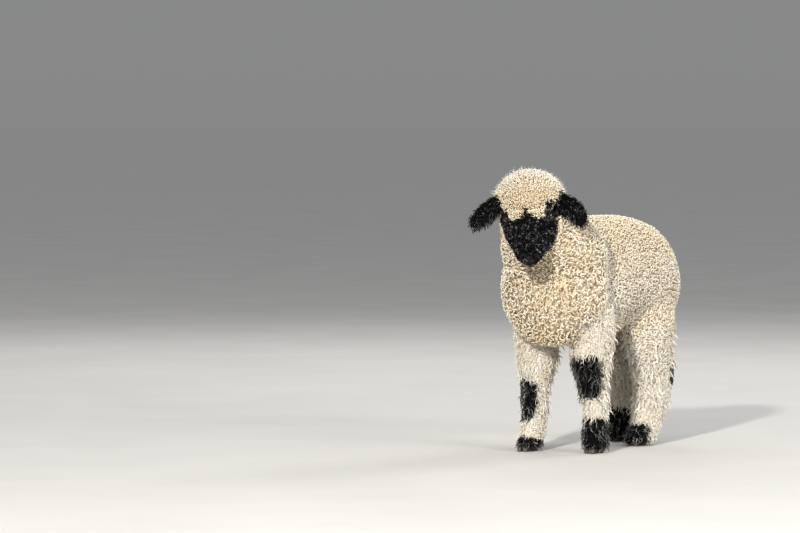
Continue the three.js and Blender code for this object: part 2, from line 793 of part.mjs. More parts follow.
const allLegs = Object.values(legForms);
const down = Z.clone().negate();
const fleeceLie = Y.clone().addScaledVector(Z, -0.8).normalize();
const torsoClumps = cover(torsoForm, {
  from: -62,
  to: 396,
  spacing: CLUMP_SPACING,
  depth: fleeceLift,
  others: [neckForm, ...allLegs],
  make: clump(fleeceLift, CLUMP_SPACING, fleeceLie, 1.3),
});
const neckClumps = cover(neckForm, {
  from: 30,
  to: NECK_LENGTH - 18,
  spacing: CLUMP_SPACING,
  depth: fleeceLift,
  others: [torsoForm, headForm, crownForm],
  make: clump(fleeceLift, CLUMP_SPACING, down, 1.3),
});
const crownClumps = cover(crownForm, {
  from: -78,
  to: 26,
  spacing: CROWN_SPACING,
  depth: CROWN_LIFT,
  others: [neckForm, headForm],
  make: clump(CROWN_LIFT, CROWN_SPACING, headMain, 1.35),
});
const tailClumps = cover(tailForm, {
  from: -372,
  to: -196,
  spacing: TAIL_SPACING,
  depth: legLift,
  others: [torsoForm],
  make: lock(TAIL_SPACING + 6, legLift),
});
const legLocks = allLegs.flatMap((form) =>
  cover(form, {
    from: 58,
    to: 236,
    spacing: LEG_SPACING,
    depth: legLift,
    others: [torsoForm],
    make: lock(LEG_SPACING + 4, legLift),
  }),
);

// The whole animal

const cores = [
  torsoForm.solid(BODY_SIDES, TORSO_STOPS, fleeceLift),
  neckForm.solid(BODY_SIDES, NECK_STOPS, fleeceLift),
  crownForm.solid(BODY_SIDES, CROWN_STOPS, CROWN_LIFT),
  headForm.solid(HEAD_SIDES, HEAD_STOPS),
  tailForm.solid(8, TAIL_STOPS, legLift),
  ...allLegs.map((form) => form.solid(LEG_SIDES, LEG_STOPS, legLift)),
  ...Object.values(EAR_SPINES).map(earSolid),
];
const fringes = Object.values(EAR_SPINES).flatMap(earFringe);
const coat = [...torsoClumps, ...neckClumps, ...crownClumps, ...tailClumps, ...legLocks, ...fringes];

let rest = addAll([...cores, ...coat]).subtract(floorBlock);
const pieces = {};

for (const [name, out] of [["eye_left", 1], ["eye_right", -1]]) {
  pieces[name] = ball(eyePlace(out), EYE_RADIUS, 12, 8);
  rest = withEye(rest, out);
}
rest = withMuzzle(rest);

// Cuts one piece off what is left: the piece is what the region holds, and the gap is taken from
// the rest.
function part(name, region, grown) {
  pieces[name] = largest(rest.intersect(region));
  rest = rest.subtract(grown);
}

// The same, where the region is what lies beyond a plane and within a ball.
function partBeyond(name, point, normal, within) {
  const inside = halfSpace(point, normal).intersect(within);
  part(name, inside, halfSpace(point, normal, -GAP).intersect(within));
}

for (const [name, spine] of Object.entries(EAR_SPINES)) {
  const curve = earCurve(spine);
  const at = curve.getPointAt(EAR_CUT);
  const along = curve.getTangentAt(EAR_CUT);
  partBeyond(name, at, along, ball(curve.getPointAt(EAR_MIDDLE), EAR_REACH, 12, 8));
}

const headCutNormal = neckMain.clone().addScaledVector(Z, -0.15).normalize();
partBeyond("head", headPoint(HEAD_CUT), headCutNormal, ball(HEAD_CENTRE, CUT_REACH, 12, 10));

// Each leg is parted from the body, and again through its knee or hock.
for (const name of Object.keys(legForms)) {
  const height = LEG_SPLIT[name.startsWith("fore") ? "fore" : "hind"];
  const cut = new THREE.Vector3(0, 0, height);
  part(name, legRegion(name, 0), legRegion(name, GAP));
  pieces[`${name}_upper`] = largest(pieces[name].intersect(halfSpace(cut, Z)));
  pieces[`${name}_lower`] = largest(pieces[name].intersect(halfSpace(cut, down, GAP)));
  delete pieces[name];
}

const tailCut = new THREE.Vector3(0, TAIL_CUT_Y, 0);
part("tail", halfSpace(tailCut, Y), halfSpace(tailCut, Y, -GAP));

const neckCut = NECK_START.clone().addScaledVector(neckMain, NECK_CUT);
const neckTop = NECK_START.clone().addScaledVector(neckMain, NECK_TOP);
partBeyond("neck", neckCut, neckMain, ball(neckTop, CUT_REACH, 12, 10));
pieces.torso = largest(rest);

for (const [leg, foot] of Object.entries(FEET)) {
  for (const [side, out] of [["outer", 1], ["inner", -1]]) {
    const sign = leg.endsWith("left") ? out : -out;
    const lower = `${leg}_lower`;
    pieces[`${leg}_claw_${side}`] = clawSolid(foot, sign, 0);
    pieces[lower] = largest(pieces[lower].subtract(clawSolid(foot, sign, GAP)));
  }
}

// Meshes

const LOOKS = {
  fleece: { color: 0xe6dccb, roughness: 0.95 },
  black: { color: 0x17171a, roughness: 0.8 },
  eye: { color: 0x120d0a, roughness: 0.1 },
  horn: { color: 0x6b5440, roughness: 0.55 },
};

function lookOf(name) {
  if (name.includes("claw")) return LOOKS.horn;
  if (name.startsWith("eye")) return LOOKS.eye;
  if (name.startsWith("ear") || name === "head") return LOOKS.black;
  return LOOKS.fleece;
}

const lamb = new THREE.Group();
for (const [name, solid] of Object.entries(pieces)) {
  const material = new THREE.MeshStandardMaterial({ ...lookOf(name), metalness: 0 });
  const mesh = new THREE.Mesh(geometryOf(solid), material);
  mesh.name = name;
  lamb.add(mesh);
}

// The box's middle stands on the origin.
const box = new THREE.Box3().setFromObject(lamb);
lamb.position.set(-(box.min.x + box.max.x) / 2, -(box.min.y + box.max.y) / 2, -box.min.z);

export default lamb;
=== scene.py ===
"""A Valais Blacknose lamb: skin, coat, eyes and claws round the part's fixed frame.

The shapes are worked out in millimetres in the lamb's own frame: it faces -Y, its left side is +X and
the floor is Z = 0. `placed` moves them into the frame, in metres.
"""
import math

import bmesh
import bpy
import numpy as np
from mathutils import Matrix, Vector
from mathutils.bvhtree import BVHTree


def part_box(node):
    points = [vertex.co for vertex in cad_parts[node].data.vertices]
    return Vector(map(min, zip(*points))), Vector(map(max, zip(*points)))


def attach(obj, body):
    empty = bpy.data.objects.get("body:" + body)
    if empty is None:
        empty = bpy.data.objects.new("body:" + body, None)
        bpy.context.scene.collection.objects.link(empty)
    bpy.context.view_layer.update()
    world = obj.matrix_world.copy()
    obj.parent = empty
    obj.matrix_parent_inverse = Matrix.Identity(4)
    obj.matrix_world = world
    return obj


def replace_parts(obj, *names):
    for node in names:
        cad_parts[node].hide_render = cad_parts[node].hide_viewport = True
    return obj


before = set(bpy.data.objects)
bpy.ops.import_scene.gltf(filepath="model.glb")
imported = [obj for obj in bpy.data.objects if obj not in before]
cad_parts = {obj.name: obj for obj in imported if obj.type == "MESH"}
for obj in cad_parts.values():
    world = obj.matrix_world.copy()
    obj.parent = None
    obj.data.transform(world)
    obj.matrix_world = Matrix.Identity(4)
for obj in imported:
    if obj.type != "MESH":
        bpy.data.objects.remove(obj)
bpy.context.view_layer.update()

# Sizes of the skin and the coat, in millimetres
FLEECE_DEPTH = 15.0  # from the tips of the body's curls down to the skin
CROWN_DEPTH = 12.0
LEG_DEPTH = 9.0
TAIL_DEPTH = 8.0
FACE_DEPTH = 3.6
EAR_DEPTH = 2.0
VOXEL = 3.0
SKIN_SMOOTHING = 5

HEAD_CENTRE = np.array([10.0, -92.0, 445.0])
HEAD_YAW, HEAD_PITCH, HEAD_ROLL = (math.radians(v) for v in (26, 51, 4))
EYE_RADIUS = 11.5
EYE_PLACE = (17.0, 35.0, 12.0)  # ahead, to the side, up
EYE_OPENING = (9.2, 5.4)  # half length and half height of the opening between the lids
OPENING_GAP = 1.6  # how far strands stay out of the opening
ROUND_EYE = 18.0  # how far past the ball the lids may change the skin
LID_THICKNESS = 2.2
LID_TURN = 1.45  # how far round the ball the lids reach, in radians
EYE_HOLLOW = 3.5  # how far the skin lies behind the ball's surface in the opening
NOSE = (95, 0, -3), (12, 15, 10)  # centre and half sizes: ahead, to the side, up
CHIN = (88, 0, -17), (15, 12, 6.5)

SHORTEST = 2.2  # how far a strand rises where two parts of the skin meet
NO_REACH = 0.3  # roots with less reach than this carry no strand
FLOOR_GAP = 0.4  # the lowest place of a strand
ROOM = 60.0  # how far a root looks out for other skin
ROOM_FROM = 1.5  # how far off the skin that look starts
TRIES = 5.0  # how many roots are tried for each square of a spacing
STRAND_SIDES = 3
STRAY = 0.12  # how far a strand's tone and warmth stray
RAGGED = 0.7  # how wide the change from white to black wool is, as a share of blackness
WARMTH = 0.34  # of the whitest fleece
PATCH = 0.003  # a tuft's patch on the bake map

PHOTO_SIZE = (800, 533)
SEED = 20260

X, Y, Z = np.eye(3)
rng = np.random.default_rng(SEED)


# Vectors and curves


def unit(v):
    v = np.asarray(v, float)
    return v / np.maximum(np.linalg.norm(v, axis=-1, keepdims=True), 1e-12)


def turned(v, axis, angle):
    v, axis = np.asarray(v, float), unit(axis)
    c, s = math.cos(angle), math.sin(angle)
    return v * c + np.cross(axis, v) * s + axis * np.dot(axis, v) * (1 - c)


def smoothstep(low, high, x):
    t = np.clip((np.asarray(x, float) - low) / (high - low), 0, 1)
    return t * t * (3 - 2 * t)


def bell(x, width):
    return np.exp(-((x / width) ** 2))


def dot(a, b):
    return np.sum(a * b, axis=-1)


def circle(sides):
    angle = np.linspace(0, 2 * np.pi, sides, endpoint=False)
    return np.cos(angle), np.sin(angle)


def tube_faces(rings, sides):
    """The quads between rings of points, and a fan at each end. The end points come after the rings."""
    row, side = np.meshgrid(np.arange(rings - 1), np.arange(sides), indexing="ij")
    corners = ((0, 0), (0, 1), (1, 1), (1, 0))
    quads = np.stack([(row + i) * sides + (side + j) % sides for i, j in corners], -1)
    k, top = np.arange(sides), (rings - 1) * sides
    start = np.stack([np.full(sides, rings * sides), (k + 1) % sides, k], -1)
    end = np.stack([np.full(sides, rings * sides + 1), top + k, top + (k + 1) % sides], -1)
    return quads.reshape(-1, 4), np.vstack([start, end])


def tube_mesh(rings, ends=None):
    """A closed mesh from rings of points, shut at its ends or at the middles of the outer rings."""
    if ends is None:
        ends = [rings[0].mean(axis=0), rings[-1].mean(axis=0)]
    quads, fans = tube_faces(*rings.shape[:2])
    return np.vstack([rings.reshape(-1, 3), ends]), quads.tolist() + fans.tolist()


class Form:
    """A loft along a straight main axis. A row holds its place, its centre's offsets to the side and
    up, and its half sizes to the left, right, top and bottom, out to the tips of the coat."""

    def __init__(self, origin, axes, rows, round_start=True, round_end=True):
        self.origin = np.array(origin, float)
        self.main, self.side, self.up = (np.array(v, float) for v in axes)
        self.rounded = round_start, round_end
        rows = np.array(rows, float)
        self.stop, self.value = rows[:, 0], rows[:, 1:]
        self.first, self.last = self.stop[0], self.stop[-1]
        outer = np.diff(self.value, axis=0) / np.diff(self.stop)[:, None]
        inner = (self.value[2:] - self.value[:-2]) / (self.stop[2:] - self.stop[:-2])[:, None]
        self.slope = np.vstack([outer[:1], inner, outer[-1:]])

    def section(self, s):
        """The row at each place along the form, on a smooth curve through the rows."""
        s = np.clip(s, self.first, self.last)
        i = np.minimum(np.searchsorted(self.stop[1:], s, side="left"), len(self.stop) - 2)
        span = (self.stop[i + 1] - self.stop[i])[..., None]
        t = (s - self.stop[i])[..., None] / span
        t2, t3 = t * t, t * t * t
        out = (2 * t3 - 3 * t2 + 1) * self.value[i] + (t3 - 2 * t2 + t) * span * self.slope[i]
        out += (3 * t2 - 2 * t3) * self.value[i + 1] + (t3 - t2) * span * self.slope[i + 1]
        out[..., 2:] = np.maximum(out[..., 2:], 0)
        return out

    def local(self, points):
        rel = points - self.origin
        return rel @ self.main, rel @ self.side, rel @ self.up

    def inside(self, points):
        """How deep points lie inside the form, along their spokes or to the nearer end."""
        s, side, up = self.local(points)
        p, q, left, right, top, bottom = np.moveaxis(self.section(s), -1, 0)
        across, high = side - p, up - q
        a = np.maximum(np.where(across > 0, left, right), 1e-3)
        b = np.maximum(np.where(high > 0, top, bottom), 1e-3)
        reach = np.hypot(across, high)
        ratio = np.maximum(np.hypot(across / a, high / b), 1e-6)
        spoke = np.where(reach > 1e-6, reach * (1 / ratio - 1), np.minimum(a, b))
        return np.minimum(spoke, np.minimum(s - self.first, self.last - s))

    def turn(self, points):
        """The angle of each point round the form's middle, in radians."""
        s, side, up = self.local(points)
        centre = self.section(s)
        return np.arctan2(up - centre[..., 1], side - centre[..., 0])

    def unwrap(self, points):
        """Each point's place on the form, as shares of a turn and of its length."""
        along = self.local(points)[0] - self.first
        return self.turn(points) / (2 * np.pi) + 0.5, along / (self.last - self.first)

    def mesh(self, depth, sides=48, rings=56):
        """The closed surface that lies inside the form by a depth."""
        k = np.linspace(0, 1, rings)
        if all(self.rounded):
            k = 0.5 - 0.5 * np.cos(np.pi * k)
        row = self.section(self.first + (self.last - self.first) * k)
        low = self.first + depth * self.rounded[0]
        high = self.last - depth * self.rounded[1]
        place = low + (high - low) * k
        half = row[:, 2:]
        half = half - depth * np.clip(half / (2 * depth), 0, 1)
        c, d = circle(sides)
        across = row[:, 0:1] + c * np.where(c > 0, half[:, 0:1], half[:, 1:2])
        up = row[:, 1:2] + d * np.where(d > 0, half[:, 2:3], half[:, 3:4])
        points = self.origin + place[:, None, None] * self.main
        return tube_mesh(points + across[..., None] * self.side + up[..., None] * self.up)


# The lamb's forms, out to the tips of the coat

torso_form = Form(
    (0, 0, 0), (Y, X, Z),
    [
        [-66, 0, 307, 0, 0, 0, 0],
        [-58, 0, 305, 52, 52, 58, 58],
        [-42, 0, 304, 80, 80, 95, 90],
        [-18, 0, 304, 97, 97, 119, 106],
        [15, 0, 304, 103, 103, 131, 108],
        [45, 0, 302, 99, 99, 136, 105],
        [76, 0, 302, 83, 83, 135, 100],
        [110, 0, 306, 87, 87, 131, 97],
        [150, 0, 311, 91, 91, 127, 99],
        [200, 0, 312, 92, 92, 126, 96],
        [250, 0, 312, 93, 93, 124, 92],
        [300, 0, 310, 92, 92, 118, 88],
        [340, 0, 304, 86, 86, 112, 84],
        [373, 0, 298, 67, 67, 86, 70],
        [393, 0, 295, 38, 38, 50, 44],
        [401, 0, 293, 0, 0, 0, 0],
    ],
)

NECK_START, NECK_END = np.array([0.0, 48, 334]), np.array([8.0, -96, 456])
neck_main = unit(NECK_END - NECK_START)
neck_side = unit(X - neck_main * neck_main[0])
neck_up = np.cross(neck_side, neck_main)
NECK_LENGTH = float(np.linalg.norm(NECK_END - NECK_START))
neck_form = Form(
    NECK_START, (neck_main, neck_side, neck_up),
    [
        [0, 0, 0, 92, 92, 80, 86],
        [35, 0, 0, 101, 101, 80, 88],
        [70, 0, 0, 101, 101, 74, 84],
        [105, 0, 0, 90, 90, 68, 75],
        [140, 0, 0, 74, 74, 64, 62],
        [NECK_LENGTH, 0, 0, 58, 58, 54, 46],
    ],
    round_start=False, round_end=False,
)

LEG_ROWS = {
    "foreleg_left": [
        [8, 66, 53, 27, 27, 34, 34],
        [24, 66, 53, 28, 28, 34, 35],
        [47, 64, 56, 27, 27, 30, 30],
        [71, 62, 58, 26, 26, 29, 28],
        [98, 59, 59, 27, 27, 30, 29],
        [125, 56, 59, 30, 30, 33, 32],
        [162, 52, 58, 36, 36, 43, 40],
        [196, 54, 57, 41, 39, 49, 45],
        [230, 57, 55, 42, 40, 54, 50],
        [279, 56, 52, 38, 38, 56, 52],
    ],
    "foreleg_right": [
        [8, -62, 28, 27, 27, 34, 36],
        [24, -61, 33, 27, 27, 33, 35],
        [47, -60, 40, 26, 26, 30, 29],
        [71, -60, 44, 26, 26, 29, 27],
        [98, -60, 46, 27, 27, 30, 29],
        [125, -59, 46, 30, 29, 34, 32],
        [162, -58, 46, 40, 35, 43, 41],
        [196, -58, 47, 41, 39, 49, 46],
        [230, -58, 49, 40, 42, 54, 50],
        [279, -56, 50, 38, 38, 56, 52],
    ],
    "hindleg_left": [
        [8, 45, 250, 33, 30, 48, 40],
        [24, 45, 261, 33, 30, 48, 40],
        [47, 46, 280, 32, 30, 46, 40],
        [74, 46, 292, 32, 30, 48, 42],
        [98, 46, 298, 33, 31, 52, 45],
        [122, 47, 298, 35, 32, 58, 49],
        [147, 48, 293, 37, 34, 64, 54],
        [176, 48, 288, 40, 37, 68, 62],
        [211, 48, 285, 43, 39, 70, 70],
        [245, 47, 284, 45, 41, 72, 74],
        [294, 44, 286, 44, 38, 72, 74],
    ],
    "hindleg_right": [
        [8, -42, 330, 30, 30, 42, 38],
        [24, -42, 336, 29, 30, 42, 37],
        [47, -43, 345, 28, 29, 39, 35],
        [74, -44, 349, 28, 30, 41, 37],
        [98, -45, 349, 30, 31, 45, 41],
        [122, -46, 344, 31, 33, 50, 46],
        [147, -47, 333, 33, 36, 58, 52],
        [176, -48, 316, 37, 39, 66, 60],
        [211, -48, 303, 39, 42, 70, 68],
        [245, -47, 294, 41, 45, 72, 74],
        [294, -44, 290, 38, 44, 72, 74],
    ],
}
leg_forms = {
    name: Form((0, 0, 0), (Z, X, Y), rows, round_start=False, round_end=False)
    for name, rows in LEG_ROWS.items()
}

tail_form = Form(
    (0, 0, 0), (-Z, X, Y),
    [
        [-397, 0, 352, 20, 20, 16, 16],
        [-383, 0, 374, 20, 20, 20, 20],
        [-365, 0, 394, 20, 20, 20, 20],
        [-340, 0, 409, 20, 20, 18, 18],
        [-295, 2, 417, 21, 21, 17, 15],
        [-245, 3, 419, 21, 21, 17, 15],
        [-207, 3, 418, 19, 19, 16, 15],
        [-187, 3, 417, 12, 12, 11, 11],
        [-179, 3, 417, 0, 0, 0, 0],
    ],
    round_start=False,
)

head_level = np.array([math.sin(HEAD_YAW), -math.cos(HEAD_YAW), 0])
head_side = turned([math.cos(HEAD_YAW), math.sin(HEAD_YAW), 0], head_level, HEAD_ROLL)
head_main = turned(head_level, head_side, HEAD_PITCH)
head_up = unit(np.cross(head_main, head_side))
head_axes = head_main, head_side, head_up
head_form = Form(
    HEAD_CENTRE, head_axes,
    [
        [-60, 0, -4, 0, 0, 0, 0],
        [-53, 0, -3, 26, 26, 28, 30],
        [-38, 0, 0, 40, 40, 40, 44],
        [-15, 0, 1, 47, 47, 43, 52],
        [5, 0, 0, 50, 50, 41, 55],
        [22, 0, -2, 50, 50, 37, 54],
        [42, 0, -4, 46, 46, 33, 47],
        [62, 0, -5, 38, 38, 30, 37],
        [80, 0, -4, 30, 30, 27, 29],
        [95, 0, -4, 25, 25, 22, 23],
        [104, 0, -5, 19, 19, 16, 17],
        [108, 0, -6, 0, 0, 0, 0],
    ],
)
crown_form = Form(
    HEAD_CENTRE, head_axes,
    [
        [-86, 0, -4, 0, 0, 0, 0],
        [-76, 0, -2, 42, 40, 38, 36],
        [-56, 0, 0, 60, 57, 55, 44],
        [-32, 0, 1, 70, 67, 66, 42],
        [-8, 0, 2, 69, 66, 67, 36],
        [12, 0, 6, 56, 54, 58, 28],
        [26, 0, 14, 36, 36, 38, 20],
        [34, 0, 24, 0, 0, 0, 0],
    ],
)


def head_point(ahead, side, up):
    return HEAD_CENTRE + head_main * ahead + head_side * side + head_up * up


in_head = head_form.local  # the places of points ahead, to the side and up

# Moves a place of the lamb into the frame: the left eye's ball is the same in both.
SHIFT = np.mean(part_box("eye_left"), axis=0) * 1000 - head_point(*EYE_PLACE)


def placed(points):
    return (np.asarray(points) + SHIFT) / 1000


# Ears


class Ear:
    """A leaf that bends down along its spine. Offsets run outward, up and ahead of the head."""

    ROOT = (-19.0, 37.0, 20.0)
    WIDTHS = [12, 14, 17, 18, 18, 15, 9]
    LOWER_EDGE = 3.5  # how much the edge hangs below the even leaf
    CUP = 5.5  # how deep the blade is hollow
    THICKNESS = 3.4
    TIP = {"ear_left": 6.0, "ear_right": 2.0}  # how far the wool hangs past the end
    STEPS = 60

    def __init__(self, name, out, offsets):
        self.name = name
        ahead, side, up = self.ROOT
        root = head_point(ahead, side * out, up)
        knots = np.array([root + head_side * a * out + Z * b + head_level * c for a, b, c in offsets])
        curve = self.catmull(knots)
        lengths = np.concatenate([[0], np.cumsum(np.linalg.norm(np.diff(curve, axis=0), axis=1))])
        even = np.linspace(0, lengths[-1], self.STEPS)
        self.spine = np.stack([np.interp(even, lengths, curve[:, k]) for k in range(3)], axis=1)
        self.along = unit(np.gradient(self.spine, axis=0))
        face = head_level - 0.35 * Z
        self.face = unit(face - self.along * dot(self.along, face)[:, None])
        self.across = unit(np.cross(self.along, self.face))
        self.lower = np.where(self.across[:, 2] < 0, 1, -1)  # which way across leads to the lower edge
        self.share = np.linspace(0, 1, self.STEPS)
        self.width = np.interp(self.share, np.linspace(0, 1, len(self.WIDTHS)), self.WIDTHS)

    @staticmethod
    def catmull(knots):
        """A smooth curve through the knots, with its ends carried on straight."""
        ends = np.vstack([2 * knots[0] - knots[1], knots, 2 * knots[-1] - knots[-2]])
        t = np.linspace(0, 1, 24)[:, None]
        parts = []
        for a, b, c, d in zip(ends, ends[1:], ends[2:], ends[3:]):
            cubic = (2 * a - 5 * b + 4 * c - d) * t**2 + (3 * b - a - 3 * c + d) * t**3
            parts.append(0.5 * (2 * b + (c - a) * t + cubic))
        return np.vstack(parts)

    def mesh(self, sides=40):
        """The blade of skin, cupped towards the front."""
        round_tip = np.sqrt(np.clip(1 - np.clip((self.share - 0.86) / 0.14, 0, 1) ** 2, 0.02, 1))[:, None]
        share = self.share[:, None]
        half = np.maximum(self.width[:, None] - EAR_DEPTH, 4) * round_tip
        thick = self.THICKNESS * (1 - 0.25 * share) * np.sqrt(round_tip)
        cup = self.CUP * np.sin(np.pi * np.minimum(share * 1.1, 1))
        c, s = circle(sides)
        low = self.lower[:, None]
        wide = half * c + low * self.LOWER_EDGE * round_tip * np.maximum(c * low, 0)
        rings = self.spine[:, None] + self.across[:, None] * wide[..., None]
        rings = rings + self.face[:, None] * (thick * s + cup * c**2)[..., None]
        return tube_mesh(rings, self.spine[[0, -1]])

    def near(self, points):
        """Each point's distance from the spine, and the share and step of the way along it."""
        gap = np.linalg.norm(points[:, None] - self.spine[None], axis=2)
        k = np.argmin(gap, axis=1)
        return gap[np.arange(len(points)), k], self.share[k], k

    def edge(self, points, k):
        """How far points lie towards the lower edge, as a share of the width."""
        return dot(points - self.spine[k], self.across[k]) * self.lower[k] / self.width[k]


ears = [
    Ear("ear_right", -1, [(0, 0, 0), (22, -4, 4), (46, -23, 9), (68, -44, 13)]),
    Ear("ear_left", 1, [(0, 0, 0), (26, -7, 4), (51, -24, 10), (68, -54, 15)]),
]
outer_forms = [torso_form, neck_form, head_form, crown_form, tail_form, *leg_forms.values()]


def depth_inside(points):
    """How far points lie below the tips of the coat."""
    return np.max([form.inside(points) for form in outer_forms], axis=0)


# Meshes


def mesh_from(name, points, faces):
    mesh = bpy.data.meshes.new(name)
    mesh.from_pydata(placed(points).tolist(), [], faces)
    mesh.validate()
    return mesh


def add_object(name, data):
    made = bpy.data.objects.new(name, data)
    bpy.context.scene.collection.objects.link(made)
    return made


def add_piece(name, mesh):
    """A piece of the model. Every piece rides on the part's one body."""
    piece = add_object(name, mesh)
    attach(piece, "root")
    return piece


def add_numbers(mesh, name, *numbers):
    """Stores up to three numbers for each vertex, as a colour."""
    values = np.zeros((len(mesh.vertices), 4), dtype=np.float32)
    values[:, 3] = 1
    for k, number in enumerate(numbers):
        values[:, k] = number
    mesh.attributes.new(name, "FLOAT_COLOR", "POINT").data.foreach_set("color", values.ravel())


def add_stand_in(node_name, piece_name, shape, slot, layer, *numbers):
    """A smooth piece in the place of one solid. Its material has the slot's name."""
    mesh = mesh_from(node_name, *shape)
    mesh.shade_smooth()
    mesh.materials.append(MATERIALS[slot])
    add_numbers(mesh, layer, *numbers)
    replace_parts(add_piece(piece_name, mesh), node_name)


def read(items, key, width=1, kind=float):
    """A property of each item of a mesh, in rows of a width."""
    flat = np.empty(len(items) * width, dtype=kind)
    items.foreach_get(key, flat)
    return flat.reshape(-1, width) if width > 1 else flat


def read_points(mesh):
    return read(mesh.vertices, "co", 3) * 1000 - SHIFT


def write_points(mesh, points):
    mesh.vertices.foreach_set("co", placed(points).ravel())
    mesh.update()


def relax(mesh, points, weight, rounds):
    """Smooths points along a mesh's edges, and swells them back, so that thin parts keep their size."""
    edges = read(mesh.edges, "vertices", 2, int)
    count = np.bincount(edges.ravel(), minlength=len(points))[:, None]
    for step in range(2 * rounds):
        total = np.zeros_like(points)
        for k in range(3):
            total[:, k] += np.bincount(edges[:, 0], points[edges[:, 1], k], len(points))
            total[:, k] += np.bincount(edges[:, 1], points[edges[:, 0], k], len(points))
        change = total / np.maximum(count, 1) - points
        points = points + change * weight[:, None] * (0.5 if step % 2 == 0 else -0.51)
    return points


# Markings: 1 where the wool is black

CROWN_EDGE = {  # side of the head: how far ahead the white crown reaches
    -58: -26, -52: -5, -47: 8, -38: 20, -31: 31, -18: 32, -7: 29, -1: 27, 6: 30, 13: 31, 20: 32,
    27: 30, 31: 28, 34: 19, 37: 12, 43: 8, 53: 0, 61: -10, 66: -22,
}
JAW_EDGE = 26.0  # how far ahead the white throat reaches
PATCHES = {  # middle direction and half width round the leg, in degrees, and lowest and highest place
    "foreleg_right": (-122, 76, 60, 136),
    "foreleg_left": (-88, 76, 102, 180),
    "hindleg_left": (90, 62, 106, 160),
    "hindleg_right": (90, 62, 108, 164),
}
FEET_TOP = {"foreleg_left": 67, "foreleg_right": 24, "hindleg_left": 46, "hindleg_right": 66}
HIPS_FROM = 150  # how far back the hind legs begin
FORELEG_TOP, HINDLEG_TOP = 262, 222  # where the wool of the legs ends
FRONT = -90  # the direction of a leg's front, in degrees


def turn_from(form, points, degrees):
    """The angle round a leg between each point and a direction, in degrees."""
    return np.abs((np.degrees(form.turn(points)) - degrees + 180) % 360 - 180)


def head_blackness(points):
    ahead, side, up = in_head(points)
    edge = np.interp(side, list(CROWN_EDGE), list(CROWN_EDGE.values()))
    low = smoothstep(-12, -32, up)
    edge = edge * (1 - low) + JAW_EDGE * low
    return smoothstep(-2.5, 2.5, ahead - edge)


def leg_blackness(name, points):
    form = leg_forms[name]
    height = points[:, 2]
    front = turn_from(form, points, FRONT)
    top = np.full(len(points), float(FEET_TOP[name]))
    if name == "hindleg_left":
        top = top * (1 - smoothstep(35, 95, front))
    if name == "foreleg_right":
        top = top + 8 * (1 - smoothstep(0, 90, front))
    black = smoothstep(top + 5, top - 3, height)
    middle, half, low, high = PATCHES[name]
    turn = turn_from(form, points, middle)
    uneven = 0.10 * np.sin(height / 6.5 + turn / 21) + 0.07 * np.sin(height / 3.1 - turn / 14)
    place = (height - (low + high) / 2) / ((high - low) / 2)
    patch = smoothstep(1.12, 0.94, (turn / half) ** 2.6 + np.abs(place) ** 4 + uneven)
    return np.maximum(black, patch)


def leg_of(points):
    """For each point the leg that it belongs to, or -1. The change to the trunk is ragged."""
    depth = np.array([form.inside(points) for form in leg_forms.values()])
    best, deepest = np.argmax(depth, axis=0), depth.max(axis=0)
    trunk = np.maximum(torso_form.inside(points), neck_form.inside(points))
    ragged = rng.normal(0, 4, len(points))
    high = points[:, 2] + 4 * ragged > np.where(points[:, 1] > HIPS_FROM, HINDLEG_TOP, FORELEG_TOP)
    best[(deepest < -6) | (trunk > deepest + 4 + ragged) | high] = -1
    return best


def ear_share(points):
    """How surely each point lies on an ear."""
    share = np.zeros(len(points))
    for ear in ears:
        gap, along, k = ear.near(points)
        on = smoothstep(ear.width[k] + 9, ear.width[k] + 5, gap) * smoothstep(0.19, 0.27, along)
        share = np.maximum(share, on)
    return share


def blackness(points):
    on_head = np.maximum(head_form.inside(points), crown_form.inside(points)) > -9
    on_head &= in_head(points)[0] > -30
    black = np.where(on_head, head_blackness(points), 0.0)
    legs = leg_of(points)
    for i, name in enumerate(leg_forms):
        mine = legs == i
        black[mine] = leg_blackness(name, points[mine])
    return np.maximum(black, ear_share(points))


# Materials


def rgba(colour):
    """A colour's four numbers. A lone number is a grey."""
    return (*colour, 1) if isinstance(colour, tuple) else (colour, colour, colour, 1)


def nodes_for(name, values):
    material = bpy.data.materials.new(name)
    material.use_nodes = True
    shader = material.node_tree.nodes["Principled BSDF"]
    for key, value in values.items():
        shader.inputs[key].default_value = value
    return material, material.node_tree, shader


def node(tree, kind, inputs=None, **settings):
    made = tree.nodes.new(kind)
    for key, value in settings.items():
        setattr(made, key, value)
    for key, value in (inputs or {}).items():
        made.inputs[key].default_value = value
    return made


def mix(tree, factor, a, b, blend="MIX"):
    """Mixes two colours, each a socket or a value, by a socket or a number."""
    made = node(tree, "ShaderNodeMix", data_type="RGBA", blend_type=blend)
    for k, value in ((0, factor), (6, a), (7, b)):
        if hasattr(value, "links"):
            tree.links.new(value, made.inputs[k])
        else:
            made.inputs[k].default_value = rgba(value) if k else value
    return made.outputs[2]


def ramp(tree, factor, stops):
    """The colours of the stops, by a socket."""
    made = node(tree, "ShaderNodeValToRGB")
    elements = made.color_ramp.elements
    while len(elements) < len(stops):
        elements.new(0.5)
    for element, (place, colour) in zip(elements, stops.items()):
        element.position = place
        element.color = rgba(colour)
    tree.links.new(factor, made.inputs[0])
    return made.outputs[0]


def texture(tree, kind, output, **inputs):
    """One output of a texture in the object's own coordinates."""
    place = node(tree, "ShaderNodeTexCoord")
    made = node(tree, f"ShaderNodeTex{kind}", inputs)
    tree.links.new(place.outputs["Object"], made.inputs["Vector"])
    return made.outputs[output]


def noise(tree, scale, detail=3.0):
    return texture(tree, "Noise", "Fac", Scale=scale, Detail=detail, Roughness=0.55)


